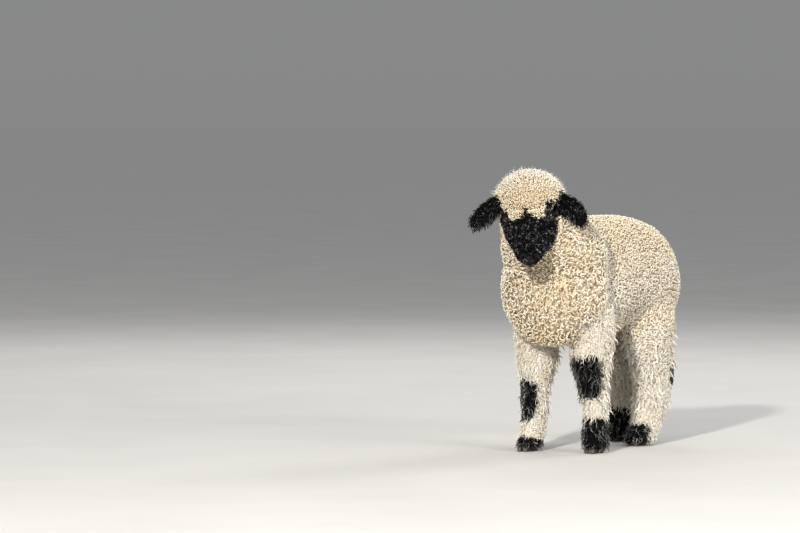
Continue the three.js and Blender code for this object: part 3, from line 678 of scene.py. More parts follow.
def numbers_of(tree, name):
    """The three numbers that add_numbers stored under a name."""
    stored = node(tree, "ShaderNodeAttribute", attribute_name=name)
    parts = node(tree, "ShaderNodeSeparateColor")
    tree.links.new(stored.outputs["Color"], parts.inputs[0])
    return parts.outputs


def bumpy(tree, shader, height, strength, distance):
    bump = node(tree, "ShaderNodeBump", {"Strength": strength, "Distance": distance})
    tree.links.new(height, bump.inputs["Height"])
    tree.links.new(bump.outputs[0], shader.inputs["Normal"])


def cream_wool():
    """The coat's numbers are the place along a strand, its own tone, and how warm its wool is. Towards the
    root the wool is painted darker: painted shade deep in the coat.
    """
    material, tree, shader = nodes_for("cream_wool", {
        "Roughness": 0.78, "Specular IOR Level": 0.25, "Sheen Weight": 0.22, "Sheen Roughness": 0.5,
    })
    along, tone, warmth = numbers_of(tree, "coat")
    # Both tints darken towards the root: painted shade between the strands.
    warm = ramp(tree, along, {
        0.0: (0.58, 0.44, 0.26),
        0.35: (0.76, 0.63, 0.43),
        0.7: (0.83, 0.745, 0.575),
        1.0: (0.85, 0.795, 0.68),
    })
    cool = ramp(tree, along, {0.0: (0.64, 0.56, 0.44), 0.4: (0.86, 0.82, 0.745), 1.0: (0.90, 0.885, 0.85)})
    own = ramp(tree, tone, {0.0: (0.85, 0.80, 0.71), 0.5: (0.97, 0.96, 0.94), 1.0: 1})
    patchy = ramp(tree, noise(tree, 22.0), {0.35: (0.93, 0.87, 0.78), 0.62: 1})
    wool = mix(tree, 0.8, mix(tree, warmth, cool, warm), own, "MULTIPLY")
    tree.links.new(mix(tree, 0.6, wool, patchy, "MULTIPLY"), shader.inputs["Base Color"])
    return material


def black_wool():
    material, tree, shader = nodes_for("black_wool", {"Roughness": 0.42, "Specular IOR Level": 0.09})
    along, tone, warmth = numbers_of(tree, "coat")
    # Near black at the root for painted shade deep in the coat, lighter at the tip for painted highlights.
    dark = ramp(tree, along, {
        0.0: (0.0005, 0.0005, 0.0006), 0.4: (0.022, 0.022, 0.024), 1.0: (0.135, 0.134, 0.141),
    })
    # Grey-brown dust, real on the legs; on the face the few strands that take it are painted glints.
    dust_and_glints = ramp(tree, along, {0.0: 0.003, 0.4: (0.170, 0.167, 0.160), 1.0: (0.480, 0.470, 0.446)})
    wool = mix(tree, ramp(tree, warmth, {0.10: 0, 0.3: 1}), dust_and_glints, dark)
    # Strands of the highest tone are painted glints; the rest stay dark.
    own = ramp(tree, tone, {0.0: 0.02, 0.55: 0.09, 0.82: 0.6, 1.0: 1})
    tree.links.new(mix(tree, 1.0, wool, own, "MULTIPLY"), shader.inputs["Base Color"])
    return material


def shaded_undercoat():
    """The skin under the coat, felted with short wool and coloured as wool in the coat's deep shade: painted
    shade.
    """
    material, tree, shader = nodes_for("shaded_undercoat", {"Roughness": 0.9, "Specular IOR Level": 0.06})
    place = node(tree, "ShaderNodeTexCoord")
    shift = node(tree, "ShaderNodeVectorMath", {1: (0.012, 0.012, 0.012)}, operation="MULTIPLY_ADD")
    tree.links.new(texture(tree, "Noise", "Color", Scale=160.0, Detail=2.0), shift.inputs[0])
    tree.links.new(place.outputs["Object"], shift.inputs[2])
    cells = node(tree, "ShaderNodeTexVoronoi", {"Scale": 300.0}, feature="SMOOTH_F1")
    tree.links.new(shift.outputs[0], cells.inputs["Vector"])
    felt = cells.outputs["Distance"]
    # Tan and darker than the strands: painted shade deep in the coat, with a felt pattern.
    cream = ramp(tree, felt, {0.1: (0.84, 0.74, 0.57), 0.7: (0.54, 0.42, 0.27)})
    white = ramp(tree, felt, {0.1: (0.92, 0.88, 0.81), 0.7: (0.64, 0.57, 0.47)})
    dark = ramp(tree, felt, {0.1: (0.004, 0.004, 0.005), 0.7: 0.001})
    black, _, leg = numbers_of(tree, "marks")
    wool = mix(tree, black, mix(tree, leg, cream, white), dark)
    tree.links.new(wool, shader.inputs["Base Color"])
    bumpy(tree, shader, felt, 0.9, -0.002)
    return material


def bare_skin():
    """The moist black skin of nose, lips and lids."""
    material, tree, shader = nodes_for("bare_skin", {"Roughness": 0.33, "Specular IOR Level": 0.16})
    tone = ramp(tree, noise(tree, 420.0, 5.0), {0.3: (0.003, 0.003, 0.004), 0.7: (0.009, 0.008, 0.011)})
    tree.links.new(tone, shader.inputs["Base Color"])
    bumpy(tree, shader, texture(tree, "Voronoi", "Distance", Scale=900.0), 0.35, 0.0005)
    return material


def eye_material():
    material, tree, shader = nodes_for("eye", {
        "Roughness": 0.06, "Specular IOR Level": 0.6, "Coat Weight": 1.0, "Coat Roughness": 0.03,
    })
    iris, pupil, _ = numbers_of(tree, "iris")
    fibres = ramp(tree, noise(tree, 700.0, 4.0), {0.3: (0.005, 0.003, 0.002), 0.7: (0.016, 0.008, 0.004)})
    colour = mix(tree, iris, (0.008, 0.005, 0.004), fibres)
    colour = mix(tree, pupil, colour, (0.002, 0.002, 0.003))
    tree.links.new(colour, shader.inputs["Base Color"])
    return material


def horn_material():
    material, tree, shader = nodes_for("horn", {"Roughness": 0.5})
    toe = numbers_of(tree, "horn")[0]
    base = ramp(tree, toe, {
        0.0: (0.010, 0.009, 0.008), 0.55: (0.030, 0.024, 0.019), 1.0: (0.105, 0.082, 0.062),
    })
    streak = ramp(tree, noise(tree, 240.0, 4.0), {0.35: (0.55, 0.5, 0.45), 0.7: 1})
    tree.links.new(mix(tree, 0.8, base, streak, "MULTIPLY"), shader.inputs["Base Color"])
    bumpy(tree, shader, noise(tree, 520.0), 0.4, 0.0006)
    return material


def pale_floor():
    material, tree, shader = nodes_for("pale_floor", {"Roughness": 0.9, "Specular IOR Level": 0.08})
    tone = ramp(tree, noise(tree, 3.0), {0.3: (0.60, 0.585, 0.56), 0.7: (0.64, 0.625, 0.60)})
    tree.links.new(tone, shader.inputs["Base Color"])
    return material


MATERIALS = {
    "cream": cream_wool(),
    "black": black_wool(),
    "shaded_undercoat": shaded_undercoat(),
    "bare": bare_skin(),
    "eye": eye_material(),
    "horn": horn_material(),
    "stage": pale_floor(),
}


# Camera, lights and stage

MM_PER_PIXEL = 1.88
CAMERA_DISTANCE = 8000.0
CAMERA_AZIMUTH, CAMERA_ELEVATION = math.radians(30), math.radians(2.6)
CAMERA_TARGET = np.array([0.0, 165.0, 268.0])
TARGET_PIXEL = (595.0, 304.7)  # where the photo shows the target
SENSOR = 36.0
CLIP_END = 400.0  # in metres
STAGE_REACH = 160.0
LIGHTS_AIM = (0, 0, 0.28)
LIGHTS = [  # name, place in metres, size, watts and colour
    ("key", (1.75, -6.2, 3.0), 0.35, 525, (1, 0.97, 0.905)),
    ("top", (0.5, -0.5, 3.2), 1.6, 5, (1, 0.98, 0.95)),
    ("fill", (3.6, -1.0, 1.3), 2.0, 82, (0.985, 0.985, 1)),
    ("rim", (0.6, 3.2, 2.8), 1.4, 44, (1, 1, 1)),
    ("back", (-2.3, 2.3, 2.9), 2.2, 38, (1, 1, 1)),
]


def make_camera():
    focal = CAMERA_DISTANCE / MM_PER_PIXEL
    back = np.array([
        math.sin(CAMERA_AZIMUTH) * math.cos(CAMERA_ELEVATION),
        -math.cos(CAMERA_AZIMUTH) * math.cos(CAMERA_ELEVATION),
        math.sin(CAMERA_ELEVATION),
    ])
    level = np.array([math.cos(CAMERA_AZIMUTH), math.sin(CAMERA_AZIMUTH), 0])
    x = (TARGET_PIXEL[0] - PHOTO_SIZE[0] / 2) / focal
    y = (PHOTO_SIZE[1] / 2 - TARGET_PIXEL[1]) / focal
    ahead = unit(-back - level * x - np.cross(back, level) * y)
    right = unit(np.cross(ahead, Z))
    turn = Matrix((right, np.cross(right, ahead), -ahead)).transposed().to_4x4()
    data = bpy.data.cameras.new("camera")
    data.sensor_width = SENSOR
    data.lens = focal * SENSOR / PHOTO_SIZE[0]
    data.clip_end = CLIP_END
    camera = add_object("camera", data)
    camera.matrix_world = Matrix.Translation(Vector(placed(CAMERA_TARGET + back * CAMERA_DISTANCE))) @ turn
    bpy.context.scene.camera = camera


def make_light(name, place, size, watts, colour):
    """A round area light that looks at the lamb."""
    data = bpy.data.lights.new(name, "AREA")
    data.shape = "DISK"
    data.size = size
    data.energy = watts
    data.color = colour
    light = add_object(name, data)
    light.rotation_euler = (Vector(LIGHTS_AIM) - Vector(place)).to_track_quat("-Z", "Y").to_euler()
    light.location = place
    light.visible_camera = False


def make_stage():
    """A wide plain floor. The studio's even light meets it at the horizon."""
    mesh = bpy.data.meshes.new("stage")
    c, s = circle(64)
    corners = np.stack([c, s, 0 * c], -1) * STAGE_REACH
    mesh.from_pydata(corners.tolist(), [], [tuple(range(len(corners)))])
    mesh.materials.append(MATERIALS["stage"])
    add_object("stage", mesh)


def make_world():
    """Even light that is weaker at the horizon, where it is as bright as the floor far away."""
    world = bpy.data.worlds.new("studio")
    world.use_nodes = True
    tree = world.node_tree
    place = node(tree, "ShaderNodeTexCoord")
    parts = node(tree, "ShaderNodeSeparateXYZ")
    tree.links.new(place.outputs["Generated"], parts.inputs[0])
    sky = ramp(tree, parts.outputs["Z"], {0.0: (0.245, 0.246, 0.248), 1.0: (0.44, 0.455, 0.48)})
    tree.links.new(sky, tree.nodes["Background"].inputs[0])
    bpy.context.scene.world = world


make_camera()
make_stage()
for light_row in LIGHTS:
    make_light(*light_row)
make_world()
bpy.context.scene.view_settings.view_transform = "Standard"


# Skin


def ball_rings(centre, axes, half, polar, sides):
    """Rings of points round a ball, at angles from the tip of its first axis."""
    polar = polar[:, None]
    c, s = circle(sides)
    parts = np.cos(polar) * np.ones_like(c), np.sin(polar) * c, np.sin(polar) * s
    points = centre
    for axis, size, part in zip(axes, half, parts):
        points = points + axis * (size * part)[..., None]
    return points


def ellipsoid(centre, half):
    """An ellipsoid in the head's own directions."""
    middle = head_point(*centre)
    polar = np.linspace(0.02, np.pi - 0.02, 20)
    tips = [middle + head_main * half[0], middle - head_main * half[0]]
    return tube_mesh(ball_rings(middle, head_axes, half, polar, 32), tips)


def skin_parts():
    yield torso_form.mesh(FLEECE_DEPTH)
    yield neck_form.mesh(FLEECE_DEPTH)
    yield crown_form.mesh(CROWN_DEPTH)
    yield head_form.mesh(FACE_DEPTH)
    yield tail_form.mesh(TAIL_DEPTH)
    for form in leg_forms.values():
        yield form.mesh(LEG_DEPTH)
    for ear in ears:
        yield ear.mesh()
    yield ellipsoid(*NOSE)
    yield ellipsoid(*CHIN)


def joined_skin():
    """One closed surface round all of the skin's parts."""
    points, faces = np.empty((0, 3)), []
    for part_points, part_faces in skin_parts():
        faces.extend([i + len(points) for i in face] for face in part_faces)
        points = np.vstack([points, part_points])
    rough = add_object("rough", mesh_from("rough", points, faces))
    remesh = rough.modifiers.new("remesh", "REMESH")
    remesh.mode = "VOXEL"
    remesh.voxel_size = VOXEL / 1000
    graph = bpy.context.evaluated_depsgraph_get()
    mesh = bpy.data.meshes.new_from_object(rough.evaluated_get(graph), depsgraph=graph)
    bpy.data.objects.remove(rough)
    return mesh


def make_finer(mesh, wanted):
    """Splits the faces whose middle is wanted, each into four."""
    made = bmesh.new()
    made.from_mesh(mesh)
    middles = np.array([face.calc_center_median() for face in made.faces]) * 1000 - SHIFT
    edges = {edge for face, pick in zip(made.faces, wanted(middles)) if pick for edge in face.edges}
    bmesh.ops.subdivide_edges(made, edges=list(edges), cuts=1, use_grid_fill=True)
    made.to_mesh(mesh)
    made.free()


def eye_centre(out):
    ahead, side, up = EYE_PLACE
    return head_point(ahead, side * out, up)


def eye_axes(out):
    """The way an eye looks, the way to its front corner and its up."""
    look = unit(head_side * out * 0.86 + head_up * 0.36 + head_main * 0.30)
    front = unit(head_main - look * dot(head_main, look))
    return look, front, np.cross(look, front) * (1 if out < 0 else -1)


def round_eye(points, out):
    """Points as an eye's centre sees them: the way there, how far, the angle from the eye's look, and
    the places along and over the opening, measured round the ball."""
    look, front, high = eye_axes(out)
    way = points - eye_centre(out)
    reach = np.maximum(np.linalg.norm(way, axis=-1), 1e-6)
    turn = np.arccos(np.clip(way @ look / reach, -1, 1))
    x, y = way @ front, way @ high
    wide = np.maximum(np.hypot(x, y), 1e-6)
    return way, reach, turn, x / wide * turn * EYE_RADIUS, y / wide * turn * EYE_RADIUS


def eye_gap(points):
    """How far each point is from the middle of the nearer eye."""
    return np.min([np.linalg.norm(points - eye_centre(out), axis=1) for out in (1, -1)], axis=0)


def near_face(points):
    return ((in_head(points)[0] > 74) | (eye_gap(points) < 24)) & (head_form.inside(points) > -6)


def near_openings(points):
    return ((in_head(points)[0] > 88) & (head_form.inside(points) > -6)) | (eye_gap(points) < 18)


def with_lids(points, out):
    """Raises the skin over the eyeball, with an almond opening between two lids."""
    way, reach, turn, u, v = round_eye(points, out)
    long, tall = EYE_OPENING
    almond = np.hypot(u / long, v / (tall * np.clip(1 - 0.35 * (u / long) ** 2, 0.4, 1)))
    lid = EYE_RADIUS + LID_THICKNESS - smoothstep(1.3, 2.2, almond)
    lid = lid - 1.1 * bell(almond - 1.9, 0.2) * smoothstep(-1, 2, v)
    raised = 0.5 * (reach + lid + np.hypot(reach - lid, 2.2))
    target = np.where(almond < 1, EYE_RADIUS - EYE_HOLLOW, raised)
    mine = (turn < LID_TURN) & (reach < EYE_RADIUS + ROUND_EYE)
    share = np.where(almond < 1, 1, smoothstep(LID_TURN, 1.1, turn)) * mine
    return eye_centre(out) + way / reach[:, None] * (reach + (target - reach) * share)[:, None]


def before_eye(points):
    """Whether points lie in the space in front of the opening between the lids."""
    found = np.zeros(points.shape[:-1], dtype=bool)
    long, tall = (size + OPENING_GAP for size in EYE_OPENING)
    for out in (1, -1):
        _, reach, _, u, v = round_eye(points, out)
        found |= (np.hypot(u / long, v / tall) < 1) & (reach < EYE_RADIUS + ROUND_EYE)
    return found


MOUTH = {70: -13.0, 84: -13.0, 96: -12.0, 106: -11.5}  # ahead: up, of the line of the mouth


def with_muzzle(points):
    """Draws the chin in and cuts the line of the mouth, the nostrils and the groove under the nose."""
    ahead, side, up = in_head(points)
    chin = smoothstep(76, 98, ahead) * smoothstep(0, -18, up) * (head_form.inside(points) > -6)
    points = points - head_side * (0.34 * chin * side)[:, None] + head_main * (2.5 * chin)[:, None]
    ahead, side, up = in_head(points)
    out = unit(points - head_point(80, 0, -6))
    line = np.interp(ahead, list(MOUTH), list(MOUTH.values())) + 0.012 * side**2 * smoothstep(96, 104, ahead)
    over = up - line
    push = -2.6 * bell(over, 1.2) + 1.1 * bell(over - 3.4, 2.2) + 0.5 * bell(over + 3.2, 2.0)
    push = push * smoothstep(64, 72, ahead)
    front = smoothstep(94, 100, ahead)
    push -= 1.8 * bell(side, 1.0) * smoothstep(-11.5, -9, up) * smoothstep(0, -3, up) * front
    push -= 0.9 * bell(side, 3.5) * smoothstep(-4, 0, up) * smoothstep(10, 5, up) * front
    for sign in (1, -1):
        x, y = side * sign - 7.4, up - 0.5
        along, over = x * 0.72 + y * 0.70, -x * 0.70 + y * 0.72
        over = over + 0.05 * along * np.abs(along)
        slit = np.exp(-((along / 5.2) ** 4)) * bell(over, 1.5)
        wing = bell(along - 1.5, 5.5) * bell(over + 3.3, 1.8)
        rim = bell(along - 2, 5.0) * bell(over - 3.2, 1.8)
        push += front * (-4.6 * slit + 1.3 * wing + 0.8 * rim)
    return points + out * push[:, None]


def bareness(points):
    """1 where the skin carries no wool: the nose pad, the lips and the edges of the lids."""
    ahead, _, up = in_head(points)
    pad = smoothstep(95, 99, ahead - 0.35 * np.maximum(up - 4, 0)) * smoothstep(-30, -24, up)
    bare = pad * (head_form.inside(points) > -8)
    for out in (1, -1):
        _, reach, turn, _, _ = round_eye(points, out)
        bare = np.maximum(bare, smoothstep(0.55, 0.68, np.cos(turn)) * smoothstep(17, 15.5, reach))
    return bare


def make_skin():
    mesh = joined_skin()
    points = read_points(mesh)
    on_head = smoothstep(20, 50, in_head(points)[0]) * (head_form.inside(points) > -5)
    points = relax(mesh, points, 1 - 0.75 * np.maximum(on_head, ear_share(points)), SKIN_SMOOTHING)
    write_points(mesh, points)
    make_finer(mesh, near_face)
    make_finer(mesh, near_openings)
    points = read_points(mesh)
    fine = near_face(points)
    points = with_muzzle(relax(mesh, points, fine * 0.9, 4))
    for out in (1, -1):
        points = with_lids(points, out)
    points = relax(mesh, points, fine * 0.5, 1)
    write_points(mesh, points)
    mesh.shade_smooth()
    mesh.materials.clear()
    mesh.materials.append(MATERIALS["shaded_undercoat"])
    mesh.materials.append(MATERIALS["bare"])
    out = read(mesh.vertices, "normal", 3)
    black = blackness(points + out * np.maximum(depth_inside(points), 0)[:, None])
    bare = bareness(points)
    add_numbers(mesh, "marks", black, bare, leg_of(points) >= 0)
    corners = read(mesh.loops, "vertex_index", kind=int)
    starts = read(mesh.polygons, "loop_start", kind=int)
    share = np.add.reduceat(bare[corners], starts) / np.diff(np.append(starts, len(corners)))
    mesh.polygons.foreach_set("material_index", (share > 0.5).astype(np.int32))
    made = add_piece("skin", mesh)
    legs = [f"{name}_{half}" for name in leg_forms for half in ("upper", "lower")]
    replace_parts(made, "head", "neck", "torso", "tail", "ear_left", "ear_right", *legs)
    return made


skin = make_skin()


# Coat


class Ground:
    """The skin's triangles, for setting roots on it."""

    def __init__(self, mesh):
        mesh.calc_loop_triangles()
        self.corners = read(mesh.loop_triangles, "vertices", 3, int)
        self.points = read_points(mesh)
        self.normals = read(mesh.vertices, "normal", 3)
        a, b, c = (self.points[self.corners[:, k]] for k in range(3))
        self.area = np.linalg.norm(np.cross(b - a, c - a), axis=1) / 2
        self.middle = (a + b + c) / 3
        self.tree = BVHTree.FromPolygons([Vector(p) for p in self.points], self.corners.tolist())

    def scatter(self, where, spacing):
        """Roots about a spacing apart on the chosen triangles, and their ways out."""
        use = np.flatnonzero(where)
        spacing = np.broadcast_to(spacing, self.area.shape)
        number = rng.poisson(self.area[use] * TRIES / spacing[use] ** 2)
        face = np.repeat(use, number)
        rng.shuffle(face)
        u, v = rng.random((2, len(face)))
        flip = u + v > 1
        u[flip], v[flip] = 1 - u[flip], 1 - v[flip]
        share = np.stack([1 - u - v, u, v], axis=1)
        at = np.einsum("nk,nkd->nd", share, self.points[self.corners[face]])
        out = unit(np.einsum("nk,nkd->nd", share, self.normals[self.corners[face]]))
        keep = apart(at, spacing[face])
        return at[keep], out[keep]

    def room(self, at, out):
        """How far each root sees along its way out before it meets skin again."""
        free = np.full(len(at), ROOM)
        for i, (p, n) in enumerate(zip(at, out)):
            hit = self.tree.ray_cast(Vector(p + n * ROOM_FROM), Vector(n), ROOM)
            if hit[3] is not None:
                free[i] = hit[3]
        return free


def apart(at, spacing):
    """Keeps points in turn that are a spacing from all kept before."""
    cell = float(spacing.max())
    held = {}
    kept = []
    keys = np.floor(at / cell).astype(int)
    near = [(i, j, k) for i in (-1, 0, 1) for j in (-1, 0, 1) for k in (-1, 0, 1)]
    for n, ((x, y, z), (px, py, pz), gap) in enumerate(zip(keys.tolist(), at.tolist(), spacing.tolist())):
        if not any(
            (px - qx) ** 2 + (py - qy) ** 2 + (pz - qz) ** 2 < gap * gap
            for i, j, k in near
            for qx, qy, qz in held.get((x + i, y + j, z + k), ())
        ):
            held.setdefault((x, y, z), []).append((px, py, pz))
            kept.append(n)
    return np.array(kept, dtype=int)


def wound(axis, across, over, look, swell, t, flat=1.0):
    """Winds paths round their axes by each strand's curl, hand and number of turns."""
    phase = look["phase"][:, None] + (look["hand"] * look["turns"] * 2 * np.pi)[:, None] * t
    round_axis = np.cos(phase)[..., None] * across + flat * np.sin(phase)[..., None] * over
    return axis + (look["curl"][:, None] * swell)[..., None] * round_axis


def locks(at, out, lie, reach, look, samples):
    """Paths of locks that leave the skin, lie down along it in waves, and turn out at their tips.

    reach is how far each may stand out from its root. look holds for each its thickness, the size and
    number of its waves, and its tilts from the way out at its root, middle and tip, in radians."""
    t = np.linspace(0, 1, samples)[None]
    first, middle, last = (look["tilts"][:, k, None] for k in range(3))
    tilt = first + (middle - first) * smoothstep(0, 0.45, t) + (last - middle) * smoothstep(0.6, 1, t)
    climb = np.cumsum(np.cos(tilt), axis=1) / samples
    length = np.minimum(reach / np.maximum(climb.max(axis=1), 0.2), look["longest"])
    way = out[:, None] * np.cos(tilt)[..., None] + lie[:, None] * np.sin(tilt)[..., None]
    step = way * (length / (samples - 1))[:, None, None]
    axis = at[:, None] + np.concatenate([np.zeros_like(step[:, :1]), np.cumsum(step[:, :-1], axis=1)], axis=1)
    across = np.cross(out, lie)[:, None] * np.ones((1, samples, 1))
    return wound(axis, across, np.cross(across, way), look, smoothstep(0, 0.4, t), t, flat=0.7)


def ringlets(at, out, lie, reach, look, samples):
    """Paths of locks that rise from the skin and coil up under the tips of the coat.

    look holds for each its coil's radius and number of turns, and how far the coil leans from the way
    out, in radians."""
    t = (np.linspace(0, 1, samples) ** 0.8)[None]
    lean = look["lean"]
    axis = out * np.cos(lean)[:, None] + lie * np.sin(lean)[:, None]
    across = unit(np.cross(out, lie))
    high = np.maximum(reach - look["curl"] * np.abs(np.sin(lean)) - look["thick"], 0.35 * reach)
    rise = high[:, None] * (1 - (1 - t) ** 2.0)
    drift = look["drift"][:, None] * t**2
    path = at[:, None] + out[:, None] * rise[..., None] + lie[:, None] * drift[..., None]
    swell = smoothstep(0, 0.45, t) * (1 - 0.5 * smoothstep(0.65, 1.1, t))
    return wound(path, across[:, None], np.cross(axis, across)[:, None], look, swell, t)


def bundled(at, out, lie, look, each, radius):
    """Repeats every root as a bundle of strands that share one curl, and gives each strand's own offset."""
    k = np.repeat(np.arange(len(at)), each)
    n = len(k)
    look = dict(look, phase=rng.random(len(at)) * 2 * np.pi)
    look["hand"] = np.where(rng.random(len(at)) < 0.5, 1, -1)
    own = {key: value[k] if isinstance(value, np.ndarray) else value for key, value in look.items()}
    own["phase"] = own["phase"] + rng.normal(0, 0.22, n)
    own["curl"] = own["curl"] * (1 + rng.normal(0, 0.09, n))
    own["turns"] = own["turns"] * (1 + rng.normal(0, 0.06, n))
    turn = (np.arange(n) % each + 0.35 * rng.random(n)) / each * 2 * np.pi
    wide = radius * (0.75 + 0.4 * rng.random(n))
    offset = lie[k] * (wide * np.cos(turn))[:, None] + np.cross(out, lie)[k] * (wide * np.sin(turn))[:, None]
    return k, own, offset


def tubes(path, look):
    """Rings of points round each path, thin at the root and the tip, and each tube's two ends."""
    thick, tip = look["thick"][:, None], look["tip"]
    samples = path.shape[1]
    t = np.linspace(0, 1, samples)[None]
    forward = unit(np.gradient(path, axis=1))
    guide = unit(np.cross(forward[:, 0], forward[:, -1] + 0.01))
    first = np.empty_like(path)
    for i in range(samples):
        guide = unit(guide - forward[:, i] * dot(guide, forward[:, i])[:, None])
        first[:, i] = guide
    second = np.cross(forward, first)
    wide = thick * (0.6 + 0.4 * smoothstep(0, 0.3, t)) * (1 - (1 - tip) * smoothstep(0.6, 1, t))
    c, s = circle(STRAND_SIDES)
    rings = path[:, :, None] + first[:, :, None] * (wide[..., None] * c)[..., None]
    rings = rings + second[:, :, None] * (wide[..., None] * look.get("flat", 1.0) * s)[..., None]
    start, end = path[:, 0] - forward[:, 0] * 0.3, path[:, -1] + forward[:, -1] * thick * tip
    return rings, np.stack([start, end], axis=1)


def coat_mesh(name, rings, tips, place, numbers, black):
    """One mesh of many strands. place holds each root's spot on the bake map, numbers each strand's
    tone and warmth, and black says which strands take the second material."""
    count, samples, sides = rings.shape[:3]
    block = samples * sides + 2
    quads, fans = tube_faces(samples, sides)
    corners = np.concatenate([quads.ravel(), fans.ravel()])
    sizes = np.tile(np.repeat([4, 3], [len(quads), len(fans)]), count)
    loops = (corners + (np.arange(count) * block)[:, None]).ravel()
    starts = np.concatenate([[0], np.cumsum(sizes)[:-1]])

    # Where each corner lies on the strand: share round it and share along it.
    row, side = np.meshgrid(np.arange(samples - 1), np.arange(sides), indexing="ij")
    k, last = np.arange(sides), samples / (samples + 1)
    around = np.concatenate([
        np.stack([side, side + 1, side + 1, side], -1).ravel(),
        np.stack([k + 0.5, k + 1, k], -1).ravel(),
        np.stack([k + 0.5, k, k + 1], -1).ravel(),
    ]) / sides
    along = np.concatenate([
        (np.stack([row, row, row + 1, row + 1], -1).ravel() + 1) / (samples + 1),
        np.tile([0, 1 - last, 1 - last], sides),
        np.tile([1, last, last], sides),
    ])
    uv = place[:, None] + PATCH * (np.stack([around, along], -1)[None] - 0.5)

    mesh = bpy.data.meshes.new(name)
    mesh.vertices.add(count * block)
    points = np.concatenate([rings.reshape(count, -1, 3), tips], axis=1)
    mesh.vertices.foreach_set("co", placed(points).ravel())
    mesh.loops.add(len(loops))
    mesh.loops.foreach_set("vertex_index", loops.astype(np.int32))
    mesh.polygons.add(len(sizes))
    mesh.polygons.foreach_set("loop_start", starts.astype(np.int32))
    mesh.polygons.foreach_set("loop_total", sizes.astype(np.int32))
    mesh.materials.append(MATERIALS["cream"])
    mesh.materials.append(MATERIALS["black"])
    mesh.polygons.foreach_set("material_index", np.repeat(black.astype(np.int32), len(quads) + len(fans)))
    mesh.polygons.foreach_set("use_smooth", np.ones(len(sizes), dtype=bool))
    mesh.uv_layers.new(name="OFBake").data.foreach_set("uv", uv.astype(np.float32).ravel())
    climb = np.concatenate([np.repeat(np.linspace(0, 1, samples), sides), [0, 1]])
    add_numbers(mesh, "coat", np.tile(climb, count), *np.repeat(numbers.T, block, axis=1))
    mesh.update()
    return mesh


def along_skin(out, wish, spread):
    """The wish laid along the skin and turned at random by up to a spread, in radians."""
    flat = wish - out * dot(wish, out)[:, None]
    weak = np.linalg.norm(flat, axis=1) < 1e-3
    flat[weak] = np.cross(out[weak], X)
    flat = unit(flat)
    angle = (rng.random(len(out)) * 2 - 1) * spread
    return flat * np.cos(angle)[:, None] + np.cross(out, flat) * np.sin(angle)[:, None]


def reach_of(at, out, most):
    """How far the tips of the coat lie above each root, found in steps along the way out."""
    found = np.full(len(at), most, float)
    for step in np.arange(1.0, most, 1.0)[::-1]:
        found[depth_inside(at + out * step) < 0] = step
    return found


def about(value, share, count):
    return value * (1 + share * (rng.random(count) * 2 - 1))


def lay_coat(
    name, form, where, spacing, shape, look_for, strands, most, warm, spread, wish, pieces=1, past=0.0
):
    """Sets bundles of strands of one shape where the skin is chosen, in pieces along the form.

    strands holds how many a bundle has, its radius, and the samples of a strand. most is how deep the
    coat may be, and past is how far the strands stand out past its tips."""
    each, radius, samples = strands
    at, out = ground.scatter(where, spacing)
    reach = np.minimum(reach_of(at, out, most), 0.5 * ground.room(at, out))
    keep = reach > NO_REACH
    at, out, reach = at[keep], out[keep], np.maximum(reach[keep], SHORTEST) + past
    top = at + out * reach[:, None]
    lie = along_skin(out, wish(at), spread)
    black = blackness(top) > rng.random(len(at)) * RAGGED + (1 - RAGGED) / 2
    tone, warmth = rng.random(len(at)), warm(top) + rng.normal(0, STRAY, len(at))
    k, look, offset = bundled(at, out, lie, look_for(top), each, radius)
    path = shape(at[k], out[k], lie[k], reach[k], look, samples)
    path = path + offset[:, None] * (1 - 0.6 * np.linspace(0, 1, samples))[None, :, None]
    rings, tips = tubes(path, look)
    clear = (np.min(rings[..., 2], axis=(1, 2)) > FLOOR_GAP) & ~np.any(before_eye(path), axis=1)
    numbers = np.stack([tone[k] + rng.normal(0, STRAY, len(k)), warmth[k]], 1).clip(0, 1)
    u, v = form.unwrap(at)
    order = np.argsort(v[k], kind="stable")
    order = order[clear[order]]
    for i, part in enumerate(np.array_split(order, pieces)):
        mine = k[part]
        low, high = v[mine].min(), v[mine].max()
        place = np.stack([u[mine] % 1, (v[mine] - low) / max(high - low, 1e-6)], 1) * 0.96 + 0.02
        title = name if pieces == 1 else f"{name}_{i + 1}"
        mesh = coat_mesh(title, rings[part], tips[part], place, numbers[part], black[mine])
        add_piece(title, mesh)


def curl_look(top, thick, curl, turns, lean, drift, tip=0.3):
    """Thickness, curl and turns are each a value and the share by which it strays. Lean, in degrees, and
    drift are each a least value and what is added to it at most."""
    n = len(top)
    return {
        "thick": about(*thick, n),
        "curl": about(*curl, n),
        "turns": about(*turns, n),
        "lean": np.radians(lean[0] + rng.random(n) * lean[1]),
        "drift": drift[0] + rng.random(n) * drift[1],
        "tip": tip,
    }


def lock_look(top, thick, curl, turns, tilts, longest, tip, flat=1.0):
    """All but tip and flat are a value and the share by which it strays. The tilts are in degrees."""
    n = len(top)
    return {
        "thick": about(*thick, n),
        "curl": about(*curl, n),
        "turns": about(*turns, n),
        "tilts": np.radians(np.stack([about(*tilt, n) for tilt in tilts], axis=1)),
        "longest": about(*longest, n),
        "tip": tip,
        "flat": flat,
    }


# What each triangle of the skin belongs to

CROWN_FROM = 380  # height
TAIL_FROM = 386  # how far back
SHOULDER_FROM, SHOULDER_TO = 190, 254  # heights of the forelegs' wool on the trunk
SHOULDER_BACK = 75

